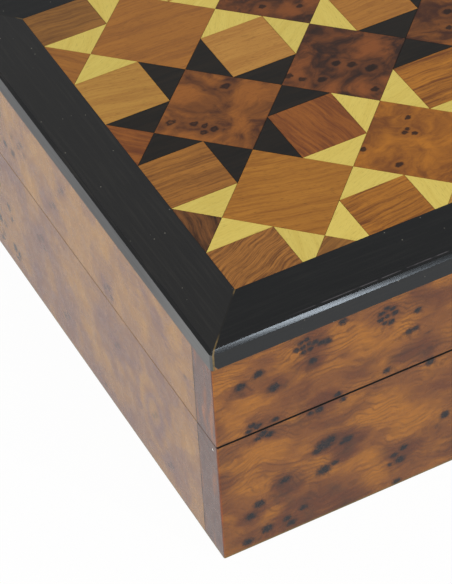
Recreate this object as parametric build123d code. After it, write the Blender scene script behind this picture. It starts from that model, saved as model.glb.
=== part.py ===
from build123d import *

import math
import os

# Burl box with a marquetry lid on two butt hinges.
# X runs to the right along the front, Y to the back, Z up.
# The origin is the centre of the underside. All sizes are in millimetres.

# ---------------------------------------------------------------- driving dimensions

# Marquetry field. Small squares stand on a lattice, two squares apart both ways.
small_square = 20.0
squares_across = 4
squares_deep = 4
front_trim = 4.0  # cut off the front row of small squares
back_trim = 5.3  # cut off the back row of small squares
tile_thickness = 1.6
glue_line = 0.12  # between neighbouring tiles

# Ebony lipping round the field.
side_lipping = 16.4
end_lipping = 17.6
lipping_height = 6.4
lipping_bevel = 0.9  # along its outer top edge
lipping_corner = 0.7  # radius of its upright corners
mitre_filler = 0.4  # thickness of the slip in each mitre
mitre_set_off = 0.8  # from the upright corner to the mitre, along the front or back

# Boards. Lid and base are one box sawn apart.
board = 11.0
base_height = 44.4
lid_height = 34.9  # with the lipping
seam_arris = 0.25  # broken edge on both sides of the saw cut
corner_round = 0.5  # radius of the upright corners
foot_arris = 0.4  # broken edge round the underside
panel_bearing = 3.0  # how far the lid panel lies on the lid boards

# Bottom, divider and lining.
bottom_thickness = 5.0
bottom_rabbet = 5.0  # how far the bottom is let into the boards
divider_thickness = 6.0
divider_housing = 2.0  # how far its ends are let into the boards
divider_drop = 4.0  # from the rim down to its top edge
divider_round = 1.5  # radius along its top edges
lining_thickness = 1.5
lining_fit = 0.3

# Butt hinges, let into both rims. The pin lies in the plane of the seam.
hinge_from_end = 34.4  # from the side of the box to the middle of a hinge
hinge_length = 28.0
hinge_inset = 1.6  # from the back face in to the pin axis
knuckle_count = 3
knuckle_radius = 2.1
knuckle_gap = 0.2  # between knuckles, along the pin
knuckle_relief = 0.3  # between the knuckles and the wood
leaf_width = 7.6  # from the pin axis to the leaf's edge
leaf_thickness = 1.1
leaf_gap = 0.4  # between the closed leaves
leaf_fit = 0.1  # round the leaf in its recess
pin_radius = 1.0
pin_tight_fit = 0.02  # in the base leaf, radial
pin_running_fit = 0.05  # in the lid leaf, radial
pin_end = 0.5  # how far the pin stands out of the knuckles

# Countersunk screws.
screws_per_leaf = 2
screw_from_end = 5.5  # from the end of the leaf to the outer screws
screw_line = 4.9  # from the pin axis
screw_head_radius = 1.7
screw_shank_radius = 0.85
screw_length = 9.0
screw_point = 1.8
screw_fit = 0.03

# The lid opens until the bevels on the two back boards meet.
opening_angle = 100.0
bevel_ease = 0.25  # degrees by which each bevel is cut steeper

# ---------------------------------------------------------------- derived sizes

pitch = 2 * small_square
field_width = pitch * (squares_across - 1) + small_square
field_depth = pitch * (squares_deep - 1) + small_square - front_trim - back_trim
box_width = field_width + 2 * side_lipping
box_depth = field_depth + 2 * end_lipping
box_height = base_height + lid_height
inner_width = box_width - 2 * board
inner_depth = box_depth - 2 * board
back_face = box_depth / 2
seam = base_height
boards_top = box_height - lipping_height
panel_thickness = lipping_height - tile_thickness
pin_y = back_face - hinge_inset
first_column = -small_square * (squares_across - 1)
first_row = -box_depth / 2 + end_lipping - front_trim + small_square / 2

LOW = (Align.CENTER, Align.CENTER, Align.MIN)
UP = (0, 0, 1)
BASE = -1  # a hinge leaf below the seam
LID = 1  # a hinge leaf above the seam

# ---------------------------------------------------------------- boards


def block(width, depth, bottom, top, x=0.0, y=0.0):
    """Upright box between two heights, centred on x and y."""
    return Pos(x, y, bottom) * Box(width, depth, top - bottom, align=LOW)


def end_of(solid, highest):
    """Edges round the top or the bottom of a solid."""
    return solid.faces().sort_by(Axis.Z)[-1 if highest else 0].edges()


def plan_prism(points, bottom, top):
    """Upright prism between two heights over a closed outline."""
    return Pos(0, 0, bottom) * extrude(Polygon(*points, align=None), top - bottom, dir=UP)


def board_plans():
    """Where each board stands in plan: the side boards butt between the other two."""
    end_y = (box_depth - board) / 2
    side_x = (box_width - board) / 2
    return {
        "front": (box_width, board, 0.0, -end_y),
        "back": (box_width, board, 0.0, end_y),
        "left": (board, inner_depth, -side_x, 0.0),
        "right": (board, inner_depth, side_x, 0.0),
    }


def saw_into_boards(shell, bottom, top):
    """Cut a finished shell into its four boards at the corner joints."""
    boards = {}
    for name, (width, depth, x, y) in board_plans().items():
        boards[name] = shell & block(width, depth, bottom, top, x, y)
    return boards


def bevel_wedge(side):
    """Wood taken off the back rim, from the pin axis out, so that the lid can open."""
    slope = math.tan(math.radians(opening_angle / 2 + bevel_ease))
    reach = hinge_inset + 1.0
    outline = Polygon((0, 0), (reach, 0), (reach, side * reach * slope), align=None)
    section = Plane.YZ * outline
    wedge = extrude(section, (box_width + 2) / 2, both=True)
    return Pos(0, pin_y, seam) * wedge


# ---------------------------------------------------------------- hinges


def along_x(radius, length, x=0.0):
    """Cylinder round the pin axis of a hinge, centred on x."""
    return Pos(x, 0, 0) * (Rot(0, 90, 0) * Cylinder(radius, length))


def knuckle_spans(side):
    """Start and end along the pin of the knuckles that one leaf carries."""
    pitch_x = hinge_length / knuckle_count
    first = 0 if side == BASE else 1
    spans = []
    for index in range(first, knuckle_count, 2):
        start = -hinge_length / 2 + index * pitch_x
        spans.append((start + knuckle_gap / 2, start + pitch_x - knuckle_gap / 2))
    return spans


def leaf_slab(side, start, end, near, far):
    """Flat part of a leaf, between two distances in front of the pin axis."""
    low = side * leaf_gap / 2
    high = side * (leaf_gap / 2 + leaf_thickness)
    middle_y = -(near + far) / 2
    return block(end - start, far - near, min(low, high), max(low, high),
                 (start + end) / 2, middle_y)


def screw_places():
    """Screw centres along one leaf, evenly spread between the outer two."""
    outer = hinge_length / 2 - screw_from_end
    step = 2 * outer / (screws_per_leaf - 1)
    return [-outer + index * step for index in range(screws_per_leaf)]


def turned_on_screw_line(side, outline):
    """Turned shape on the screw line, with its top flush with the face of a leaf."""
    turned = revolve(Plane.XZ * Polygon(*outline, align=None), Axis.Z)
    if side == LID:
        turned = Rot(180, 0, 0) * turned
    return Pos(0, -screw_line, side * leaf_gap / 2) * turned


def screw(side):
    """Countersunk screw, its head flush with a leaf and its point in the wood."""
    sink = screw_head_radius - screw_shank_radius
    return turned_on_screw_line(side, [
        (0, 0),
        (screw_head_radius, 0),
        (screw_shank_radius, -sink),
        (screw_shank_radius, screw_point - screw_length),
        (0, -screw_length),
    ])


def screw_hole(side):
    """Countersink in a leaf, and the hole drilled below it for the screw."""
    sink = screw_head_radius - screw_shank_radius
    head = screw_head_radius + screw_fit
    shank = screw_shank_radius + screw_fit
    depth = screw_length + screw_fit
    return turned_on_screw_line(side, [(0, 0), (head, 0), (shank, -sink), (shank, -depth), (0, -depth)])


def leaf(side):
    """Hinge leaf with its knuckles, bored for the pin and countersunk."""
    clear_of_knuckles = knuckle_radius + knuckle_gap
    half = hinge_length / 2
    bore = pin_radius + (pin_tight_fit if side == BASE else pin_running_fit)
    solid = leaf_slab(side, -half, half, clear_of_knuckles, leaf_width)
    for start, end in knuckle_spans(side):
        solid += leaf_slab(side, start, end, 0.0, clear_of_knuckles)
        solid += along_x(knuckle_radius, end - start, (start + end) / 2)
    solid -= along_x(bore, hinge_length + 1)
    for x in screw_places():
        solid -= Pos(x, 0, 0) * screw_hole(side)
    return solid


def pin():
    """Hinge pin, which stands out a little at both ends of the knuckles."""
    return along_x(pin_radius, hinge_length + 2 * pin_end)


def hinge_recess(side):
    """Wood let out of a rim for one leaf, its knuckles, the pin and the screws."""
    knuckles = along_x(knuckle_radius + knuckle_relief,
                       hinge_length + 2 * (pin_end + knuckle_relief))
    depth = leaf_gap / 2 + leaf_thickness
    bed = block(hinge_length + 2 * leaf_fit, leaf_width + leaf_fit,
                min(0, side * depth), max(0, side * depth),
                y=-(leaf_width + leaf_fit) / 2)
    recess = knuckles + bed
    for x in screw_places():
        recess += Pos(x, 0, 0) * screw_hole(side)
    return recess


def at_hinges(solid):
    """A solid of one hinge, placed at the left and the right hinge."""
    from_middle = box_width / 2 - hinge_from_end
    return [Pos(x, pin_y, seam) * solid for x in (-from_middle, from_middle)]


def screws(side):
    """All screws of one side of both hinges."""
    found = []
    for x in screw_places():
        found += at_hinges(Pos(x, 0, 0) * screw(side))
    return found


# ---------------------------------------------------------------- base


def bottom_panel():
    """Bottom, let into a rabbet in the boards and flush with their undersides."""
    return block(inner_width + 2 * bottom_rabbet, inner_depth + 2 * bottom_rabbet,
                 0, bottom_thickness)


def divider():
    """Partition between the two compartments, housed in the front and back boards."""
    solid = block(divider_thickness, inner_depth + 2 * divider_housing,
                  bottom_thickness, seam - divider_drop)
    return fillet(end_of(solid, True).filter_by(Axis.Y), divider_round)


def floor_linings():
    """Felt on the floor of each compartment."""
    width = (inner_width - divider_thickness) / 2 - 2 * lining_fit
    x = (inner_width + divider_thickness) / 4
    top = bottom_thickness + lining_thickness
    depth = inner_depth - 2 * lining_fit
    return [block(width, depth, bottom_thickness, top, sign * x) for sign in (-1, 1)]


def base_boards():
    """The four boards of the base."""
    shell = block(box_width, box_depth, 0, seam)
    shell = fillet(shell.edges().filter_by(Axis.Z), corner_round)
    shell = chamfer(end_of(shell, True), seam_arris)
    shell = chamfer(end_of(shell, False), foot_arris)
    shell -= block(inner_width, inner_depth, 0, seam)
    shell -= bottom_panel()
    shell -= divider()
    shell -= bevel_wedge(BASE)
    for recess in at_hinges(hinge_recess(BASE)):
        shell -= recess
    return saw_into_boards(shell, 0, seam)


# ---------------------------------------------------------------- lid


def lid_boards():
    """The four boards of the lid."""
    shell = block(box_width, box_depth, seam, boards_top)
    shell = fillet(shell.edges().filter_by(Axis.Z), corner_round)
    shell = chamfer(end_of(shell, False), seam_arris)
    shell -= block(inner_width, inner_depth, seam, boards_top)
    shell -= bevel_wedge(LID)
    for recess in at_hinges(hinge_recess(LID)):
        shell -= recess
    return saw_into_boards(shell, seam, boards_top)


def lid_panel():
    """Ground of the marquetry. It lies on the lid boards, inside the lipping."""
    border = 2 * (board - panel_bearing)
    return block(box_width - border, box_depth - border,
                 boards_top, boards_top + panel_thickness)


def lipping_ring():
    """The whole lipping, rabbeted over the edge of the panel, before it is mitred."""
    ring = block(box_width, box_depth, boards_top, box_height)
    ring = chamfer(end_of(ring, True), lipping_bevel)
    ring = fillet(ring.edges().filter_by(Axis.Z), lipping_corner)
    ring -= block(field_width, field_depth, boards_top, box_height)
    return ring - lid_panel()


def mitre_line(x_sign, y_sign):
    """Outer and inner end of one mitre, in plan."""
    outer = (x_sign * (box_width / 2 - mitre_set_off), y_sign * box_depth / 2)
    inner = (x_sign * field_width / 2, y_sign * field_depth / 2)
    return outer, inner


def mitre_slip(x_sign, y_sign):
    """Prism along one mitre, longer than the mitre at both ends."""
    outer, inner = mitre_line(x_sign, y_sign)
    length = math.dist(outer, inner)
    run_x = (outer[0] - inner[0]) / length
    run_y = (outer[1] - inner[1]) / length
    half = mitre_filler / 2
    corners = []
    for end, back in ((outer, 1), (inner, -1)):
        for across in (back, -back):
            x = end[0] + back * run_x - across * run_y * half
            y = end[1] + back * run_y + across * run_x * half
            corners.append((x, y))
    return plan_prism(corners, boards_top, box_height)


def lippings_and_fillers():
    """The four ebony lippings and the four slips in their mitres."""
    ring = lipping_ring()
    slips = [mitre_slip(x, y) for x in (-1, 1) for y in (-1, 1)]
    fillers = [ring & slip for slip in slips]
    for slip in slips:
        ring -= slip
    pieces = ring.solids()
    lippings = {
        "front": pieces.sort_by(Axis.Y)[0],
        "back": pieces.sort_by(Axis.Y)[-1],
        "left": pieces.sort_by(Axis.X)[0],
        "right": pieces.sort_by(Axis.X)[-1],
    }
    return lippings, fillers


# ---------------------------------------------------------------- marquetry


def place(column, row):
    """Point of the marquetry lattice, in small squares from the first small square."""
    return first_column + column * small_square, first_row + row * small_square


def tile(outline):
    """Tile over an outline in lattice units, trimmed to the field, or None."""
    points = [place(column, row) for column, row in outline]
    field = Rectangle(field_width, field_depth)
    trimmed = Polygon(*points, align=None) & field
    if trimmed is None or not trimmed.faces():
        return None
    shrunk = offset(trimmed, -glue_line / 2, kind=Kind.INTERSECTION)
    return Pos(0, 0, box_height - tile_thickness) * extrude(shrunk, tile_thickness, dir=UP)


def small_square_tiles():
    """Small squares, which stand in line with the box."""
    half = 0.5
    tiles = []
    for column in range(0, 2 * squares_across, 2):
        for row in range(0, 2 * squares_deep, 2):
            tiles.append(tile([
                (column - half, row - half),
                (column + half, row - half),
                (column + half, row + half),
                (column - half, row + half),
            ]))
    return tiles


def is_dark_meeting(column, row):
    """Whether two triangles that meet at a point are ebony.

    They are ebony round the middle tile of the first and of the last column of
    large tiles, and lemonwood elsewhere.
    """
    middle_row = squares_deep - 1
    for tile_column in (1, 2 * squares_across - 3):
        if abs(column - tile_column) + abs(row - middle_row) == 1:
            return True
    return False


def triangle_tiles(dark):
    """Triangles on the sides of the small squares, of one of the two woods."""
    half = 0.5
    tiles = []
    for column in range(0, 2 * squares_across, 2):
        for row in range(0, 2 * squares_deep, 2):
            for step_x, step_y in ((1, 0), (0, 1), (-1, 0), (0, -1)):
                tip = (column + step_x, row + step_y)
                inside_x = 0 < tip[0] < 2 * squares_across - 2 or step_x == 0
                inside_y = 0 < tip[1] < 2 * squares_deep - 2 or step_y == 0
                if not (inside_x and inside_y) or is_dark_meeting(*tip) != dark:
                    continue
                base_x = column + step_x * half
                base_y = row + step_y * half
                tiles.append(tile([
                    (base_x - step_y * half, base_y + step_x * half),
                    (base_x + step_y * half, base_y - step_x * half),
                    tip,
                ]))
    return tiles


def large_tile(column, row):
    """Large square tile, turned 45 degrees, centred between four small squares."""
    return tile([(column + 1, row), (column, row + 1), (column - 1, row), (column, row - 1)])


def large_tile_places():
    """Centres of the large tiles: whole ones inside, halves along the edge."""
    whole = []
    halves = []
    last_column = 2 * squares_across - 1
    last_row = 2 * squares_deep - 1
    for column in range(-1, last_column + 1, 2):
        for row in range(-1, last_row + 1, 2):
            on_side = column in (-1, last_column)
            on_end = row in (-1, last_row)
            if on_side and on_end:
                continue
            if on_side or on_end:
                halves.append((column, row))
            else:
                whole.append((column, row))
    return whole, halves


def is_burl_place(column, row):
    """Whether a whole large tile is burl: those in the middle column or row."""
    return column == squares_across - 1 or row == squares_deep - 1


def large_tiles(burl):
    """Whole large tiles, either those of burl or those of plain wood."""
    whole, _ = large_tile_places()
    return [large_tile(*spot) for spot in whole if is_burl_place(*spot) == burl]


def edge_tiles():
    """Halves of large tiles, along the lipping."""
    _, halves = large_tile_places()
    return [large_tile(*spot) for spot in halves]


# ---------------------------------------------------------------- the whole part


def group(solids):
    """One node that holds several separate solids."""
    return Compound(children=[solid for solid in solids if solid is not None])


def build_nodes():
    """Every piece of the box, by the name of its node."""
    nodes = {}
    for name, solid in base_boards().items():
        nodes[f"base_{name}_board"] = solid
    nodes["base_bottom_panel"] = bottom_panel()
    nodes["base_divider"] = divider()
    nodes["base_felt_linings"] = group(floor_linings())

    for name, solid in lid_boards().items():
        nodes[f"lid_{name}_board"] = solid
    nodes["lid_panel"] = lid_panel()
    lippings, fillers = lippings_and_fillers()
    for name, solid in lippings.items():
        nodes[f"ebony_lipping_{name}"] = solid
    nodes["mitre_fillers"] = group(fillers)

    nodes["marquetry_small_squares"] = group(small_square_tiles())
    nodes["marquetry_lemonwood_triangles"] = group(triangle_tiles(dark=False))
    nodes["marquetry_ebony_triangles"] = group(triangle_tiles(dark=True))
    nodes["marquetry_burl_tiles"] = group(large_tiles(burl=True))
    nodes["marquetry_plain_tiles"] = group(large_tiles(burl=False))
    nodes["marquetry_edge_tiles"] = group(edge_tiles())

    for name, solid in zip(("left", "right"), at_hinges(leaf(BASE))):
        nodes[f"hinge_{name}_base_leaf"] = solid
    for name, solid in zip(("left", "right"), at_hinges(leaf(LID))):
        nodes[f"hinge_{name}_lid_leaf"] = solid
    for name, solid in zip(("left", "right"), at_hinges(pin())):
        nodes[f"hinge_{name}_pin"] = solid
    nodes["hinge_base_screws"] = group(screws(BASE))
    nodes["hinge_lid_screws"] = group(screws(LID))
    return nodes


os.makedirs("parts", exist_ok=True)
for node_name, node in build_nodes().items():
    export_step(node, f"parts/{node_name}.step")
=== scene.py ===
"""Burl box with a marquetry lid on two butt hinges: finishes, detail pieces and studio.

X runs to the right along the front, Y to the back and Z up, in metres, and the
origin is the centre of the underside. Patterns are laid out in millimetres.
"""

import logging
import math
from dataclasses import dataclass, field, replace
from enum import Enum
from functools import cached_property, reduce
from typing import Callable, Iterable, Optional, Sequence, Union

import bmesh
import bpy
from mathutils import Matrix, Vector


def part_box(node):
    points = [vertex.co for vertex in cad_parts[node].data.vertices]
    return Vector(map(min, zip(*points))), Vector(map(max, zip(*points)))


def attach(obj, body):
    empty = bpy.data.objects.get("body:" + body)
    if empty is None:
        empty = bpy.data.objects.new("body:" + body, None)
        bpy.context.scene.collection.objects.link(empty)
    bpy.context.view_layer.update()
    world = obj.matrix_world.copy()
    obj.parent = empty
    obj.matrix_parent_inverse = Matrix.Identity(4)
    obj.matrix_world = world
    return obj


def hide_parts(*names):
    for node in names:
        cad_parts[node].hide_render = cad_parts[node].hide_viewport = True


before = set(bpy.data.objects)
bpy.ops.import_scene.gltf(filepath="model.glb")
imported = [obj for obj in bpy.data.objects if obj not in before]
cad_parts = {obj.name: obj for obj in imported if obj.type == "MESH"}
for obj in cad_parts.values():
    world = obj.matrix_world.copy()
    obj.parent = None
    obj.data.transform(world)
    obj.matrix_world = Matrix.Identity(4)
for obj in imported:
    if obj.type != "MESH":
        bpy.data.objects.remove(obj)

LOG = logging.getLogger("burl_box")
MM = 0.001
PER_METRE = 1000.0

# Outline of the box and height of the seam, in millimetres.
HALF_WIDTH = 86.4
HALF_DEPTH = 82.95
LID_TOP = 79.3
SEAM_Z = 44.4
# Thickness of a board, and the depth within which a place counts as on a face.
BOARD = 11.0
SKIN = 4.0

# Least share of an axis in the direction of a face that looks along it.
SQUARE_ON = 0.7
# A distance beyond every pattern, in radii of a knot.
FAR = 99.0

Triple = tuple[float, float, float]


@dataclass(frozen=True)
class Tone:
    """A colour as a maker would mix it, in eight-bit display values."""

    red: int
    green: int
    blue: int

    def rgba(self) -> tuple[float, float, float, float]:
        """Linear colour with full opacity."""
        linear = [self._linear(v / 255) for v in (self.red, self.green, self.blue)]
        return linear[0], linear[1], linear[2], 1.0

    @staticmethod
    def _linear(value: float) -> float:
        """Linear value of one display value."""
        if value <= 0.04045:
            return value / 12.92
        return ((value + 0.055) / 1.055) ** 2.4


WHITE = Tone(255, 255, 255)


class Run(Enum):
    """The way the fibres of a piece run."""

    ALONG_X = "x"
    ALONG_Y = "y"

    def turned(self, cloud: "Cloud") -> "Cloud":
        """A cloud that is drawn out along X, drawn out along the fibres instead."""
        along, across, _ = cloud.waves
        waves = tuple(along if axis == self.value else across for axis in "xyz")
        return replace(cloud, waves=waves)


class Body(Enum):
    """The two bodies of the box."""

    BASE = "base"
    LID = "lid"


# ---------------------------------------------------------------- node sketching


@dataclass(frozen=True)
class Step:
    """A smooth step: a value that goes from low to high gives one from start to end."""

    low: float
    high: float
    start: float = 0.0
    end: float = 1.0


@dataclass(frozen=True)
class Band:
    """A smooth rise and fall: nothing up to low, full from full, faded from fade to high."""

    low: float
    full: float
    fade: float
    high: float
    strength: float = 1.0


@dataclass(frozen=True)
class Cloud:
    """Smooth noise, by its waves to the millimetre, and the step that sharpens it."""

    waves: Union[float, Triple]
    detail: float = 2.0
    roughness: float = 0.5
    distortion: float = 0.0
    step: Optional[Step] = None


@dataclass(frozen=True)
class Sway:
    """A wandering offset: waves to the millimetre, twice its farthest reach, and detail."""

    waves: float
    reach: "Term"
    detail: float = 2.0


@dataclass(frozen=True)
class Knot:
    """A knot, or a soft patch, at a chosen place on one face, in millimetres."""

    along: float
    up: float
    radius: float


def arithmetic(operation: str, turned: bool = False) -> Callable[["Value", "Term"], "Value"]:
    """Makes one arithmetic method of Value.

    Args:
        operation: The operation of the node that it adds.
        turned: True where the value is the second term.

    Returns:
        The method.
    """
    def method(value: "Value", other: "Term") -> "Value":
        """Result of the operation."""
        first, second = (other, value) if turned else (value, other)
        return value.sketch.work(operation, first, second)
    return method


class Value:
    """What a socket gives, with plain words for the nodes that change it."""

    __add__ = arithmetic("ADD")
    __radd__ = arithmetic("ADD", turned=True)
    __sub__ = arithmetic("SUBTRACT")
    __rsub__ = arithmetic("SUBTRACT", turned=True)
    __mul__ = arithmetic("MULTIPLY")
    __truediv__ = arithmetic("DIVIDE")
    __lt__ = arithmetic("LESS_THAN")
    __gt__ = arithmetic("GREATER_THAN")
    least = arithmetic("MINIMUM")
    most = arithmetic("MAXIMUM")
    distance = arithmetic("DISTANCE")

    def __init__(self, sketch: "Sketch", socket: bpy.types.NodeSocket) -> None:
        """Takes the socket and the sketch that it is part of."""
        self.sketch = sketch
        self.socket = socket

    def __abs__(self) -> "Value":
        """The value without its sign."""
        return self.sketch.work("ABSOLUTE", self)

    def __neg__(self) -> "Value":
        """The value with the other sign."""
        return self * -1.0

    def sine(self) -> "Value":
        """Sine of the value, in radians."""
        return self.sketch.work("SINE", self)

    @property
    def is_vector(self) -> bool:
        """True where the socket gives more than one number."""
        return self.socket.type in ("VECTOR", "RGBA")

    @cached_property
    def parts(self) -> tuple["Value", "Value", "Value"]:
        """The three parts of a vector."""
        made = self.sketch.node("ShaderNodeSeparateXYZ", {0: self})
        return made[0], made[1], made[2]

    @property
    def x(self) -> "Value":
        """The first part of a vector."""
        return self.parts[0]

    @property
    def y(self) -> "Value":
        """The second part of a vector."""
        return self.parts[1]

    @property
    def z(self) -> "Value":
        """The third part of a vector."""
        return self.parts[2]

    def flat(self, axes: str) -> "Value":
        """A place on a flat face, from the two parts that axes names."""
        along, up = (self.parts["xyz".index(axis)] for axis in axes)
        return self.sketch.join(along, up)

    def step(self, step: Step) -> "Value":
        """The value put through a smooth step.

        Args:
            step: The step.

        Returns:
            The new value.
        """
        made = self.sketch.node("ShaderNodeMapRange", {
            "Value": self, "From Min": step.low, "From Max": step.high, "To Min": step.start,
            "To Max": step.end}, interpolation_type="SMOOTHSTEP")
        return made[0]

    def band(self, band: Band) -> "Value":
        """The value put through a smooth rise and fall."""
        return self.step(Step(band.low, band.full)) * self.step(
            Step(band.fade, band.high, band.strength, 0.0))

    def cloud(self, cloud: Cloud) -> "Value":
        """Smooth noise at a place, from 0 to 1, or put through its step if it has one.

        Args:
            cloud: Settings of the noise.

        Returns:
            The noise.
        """
        place, scale = self, cloud.waves
        if isinstance(scale, tuple):
            place, scale = self * scale, 1.0
        made = self.sketch.node("ShaderNodeTexNoise", {
            "Vector": place, "Scale": scale, "Detail": cloud.detail,
            "Roughness": cloud.roughness, "Distortion": cloud.distortion})
        return made[0].step(cloud.step) if cloud.step else made[0]

    def drift(self, sway: Sway) -> "Value":
        """An offset that wanders about zero from place to place.

        Args:
            sway: How it wanders.

        Returns:
            The offset.
        """
        made = self.sketch.node("ShaderNodeTexNoise", {
            "Vector": self, "Scale": sway.waves, "Detail": sway.detail})
        return (made["Color"] - (0.5, 0.5, 0.5)) * sway.reach

    def swayed(self, sway: Sway) -> "Value":
        """The place with a wandering offset."""
        return self + self.drift(sway)

    def cells(self, spacing: float) -> "Made":
        """Points strewn about a place, so many millimetres apart."""
        return self.sketch.node("ShaderNodeTexVoronoi", {
            "Vector": self, "Scale": 1.0 / spacing, "Randomness": 1.0})

    def mix(self, first: "Term", second: "Term") -> "Value":
        """Mix of two colours, with the value as the share of the second."""
        return self.sketch.node("ShaderNodeMix", {0: self, 6: first, 7: second},
                                data_type="RGBA")[2]

    def nearest(self, knots: Sequence[Knot], stretch: tuple[float, float]) -> "Value":
        """Distance from a place on a face to the nearest knot, in radii of that knot.

        Args:
            knots: The knots.
            stretch: How much longer than round a knot is, along and up.

        Returns:
            The distance.
        """
        along, up = (1.0 / share for share in stretch)
        squeezed = self * (along, up, 0.0)
        return reduce(Value.least, (
            squeezed.distance((knot.along * along, knot.up * up, 0.0)) / knot.radius
            for knot in knots))


Term = Union[Value, Tone, float, tuple]


class Made:
    """A node of a sketch, whose outputs come as values."""

    def __init__(self, sketch: "Sketch", node: bpy.types.Node) -> None:
        """Takes the node and the sketch that it is part of."""
        self.sketch = sketch
        self.node = node

    def __getitem__(self, name: Union[int, str]) -> Value:
        """One output, by its number or name."""
        return Value(self.sketch, self.node.outputs[name])

    def feed(self, name: Union[int, str], value: Term) -> None:
        """Links a value to an input, or sets the input's own value.

        Args:
            name: The input's number or name.
            value: What it gets.
        """
        socket = self.node.inputs[name]
        if isinstance(value, Value):
            self.sketch.tree.links.new(value.socket, socket)
        else:
            socket.default_value = value.rgba() if isinstance(value, Tone) else value


class Sketch:
    """Short words for laying out one node tree."""

    def __init__(self, tree: bpy.types.NodeTree) -> None:
        """Takes the tree that the nodes go into."""
        self.tree = tree

    def node(self, kind: str, inputs: Optional[dict] = None, **settings: object) -> Made:
        """Adds one node.

        Args:
            kind: The node's type.
            inputs: Values by input name or number.
            settings: Properties of the node.

        Returns:
            The new node.
        """
        made = Made(self, self.tree.nodes.new(kind))
        for name, value in settings.items():
            setattr(made.node, name, value)
        for name, value in (inputs or {}).items():
            made.feed(name, value)
        return made

    def work(self, operation: str, *terms: Term) -> Value:
        """Result of one operation: on vectors where a term is a vector, and else on numbers.

        Args:
            operation: The node's operation.
            terms: What it works on, in order.

        Returns:
            The result.
        """
        inputs = dict(enumerate(terms))
        vectors = [term.is_vector if isinstance(term, Value) else isinstance(term, tuple)
                   for term in terms]
        if not any(vectors):
            return self.node("ShaderNodeMath", inputs, operation=operation)[0]
        if operation == "MULTIPLY" and not all(vectors):
            operation, inputs = "SCALE", {0: terms[0], "Scale": terms[1]}
        made = self.node("ShaderNodeVectorMath", inputs, operation=operation)
        return made["Value" if operation == "DISTANCE" else "Vector"]

    def join(self, x: Term, y: Term, z: Term = 0.0) -> Value:
        """A vector from three parts."""
        return self.node("ShaderNodeCombineXYZ", {0: x, 1: y, 2: z})[0]

    def attribute(self, name: str, kind: str = "Color") -> Value:
        """A named attribute of the mesh."""
        return self.node("ShaderNodeAttribute", attribute_name=name)[kind]

    def millimetres(self) -> Value:
        """Place on the piece in the object's frame, in millimetres."""
        return self.node("ShaderNodeTexCoord")["Object"] * PER_METRE

    def facing(self) -> Value:
        """Direction of the surface in the object's frame."""
        return self.node("ShaderNodeTexCoord")["Normal"]


def fresh_sketch(holder: Union[bpy.types.Material, bpy.types.World]) -> Sketch:
    """Empties the node tree of a material or a world.

    Args:
        holder: The material or world.

    Returns:
        A sketch of its tree.
    """
    holder.use_nodes = True
    holder.node_tree.nodes.clear()
    return Sketch(holder.node_tree)


@dataclass(frozen=True)
class Polish:
    """How a surface is finished: roughness, gloss level, metal, nap, tint and relief."""

    roughness: float
    specular: float = 0.5
    metallic: float = 0.0
    sheen: float = 0.0
    tint: Tone = WHITE
    relief_mm: float = 0.01
    relief_share: float = 0.5


class Finish:
    """A material with one principled shader."""

    def __init__(self, name: str, polish: Polish) -> None:
        """Starts the material.

        Args:
            name: Name of the material.
            polish: How the surface is finished.
        """
        self.material = bpy.data.materials.new(name)
        self.polish = polish
        self.sketch = fresh_sketch(self.material)
        self.at = self.sketch.millimetres()
        self.shader = self.sketch.node("ShaderNodeBsdfPrincipled", {
            "Roughness": polish.roughness,
            "Specular IOR Level": polish.specular,
            "Metallic": polish.metallic,
            "Sheen Weight": polish.sheen,
            "Specular Tint": polish.tint,
        })
        self.sketch.node("ShaderNodeOutputMaterial", {0: self.shader[0]})

    def colour(self, value: Term) -> None:
        """Sets the base colour."""
        self.shader.feed("Base Color", value)

    def roughness(self, value: Term) -> None:
        """Sets the roughness."""
        self.shader.feed("Roughness", value)

    def relief(self, height: Value) -> None:
        """Raises the surface to the depth that its polish gives.

        Args:
            height: Where it is raised, from 0 to 1.
        """
        bump = self.sketch.node("ShaderNodeBump", {
            "Height": height, "Distance": self.polish.relief_mm * MM,
            "Strength": self.polish.relief_share})
        self.shader.feed("Normal", bump[0])


# ---------------------------------------------------------------- finishes


def knots(*triples: Triple) -> tuple[Knot, ...]:
    """Knots from triples of along, up and radius."""
    return tuple(Knot(*triple) for triple in triples)


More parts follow.
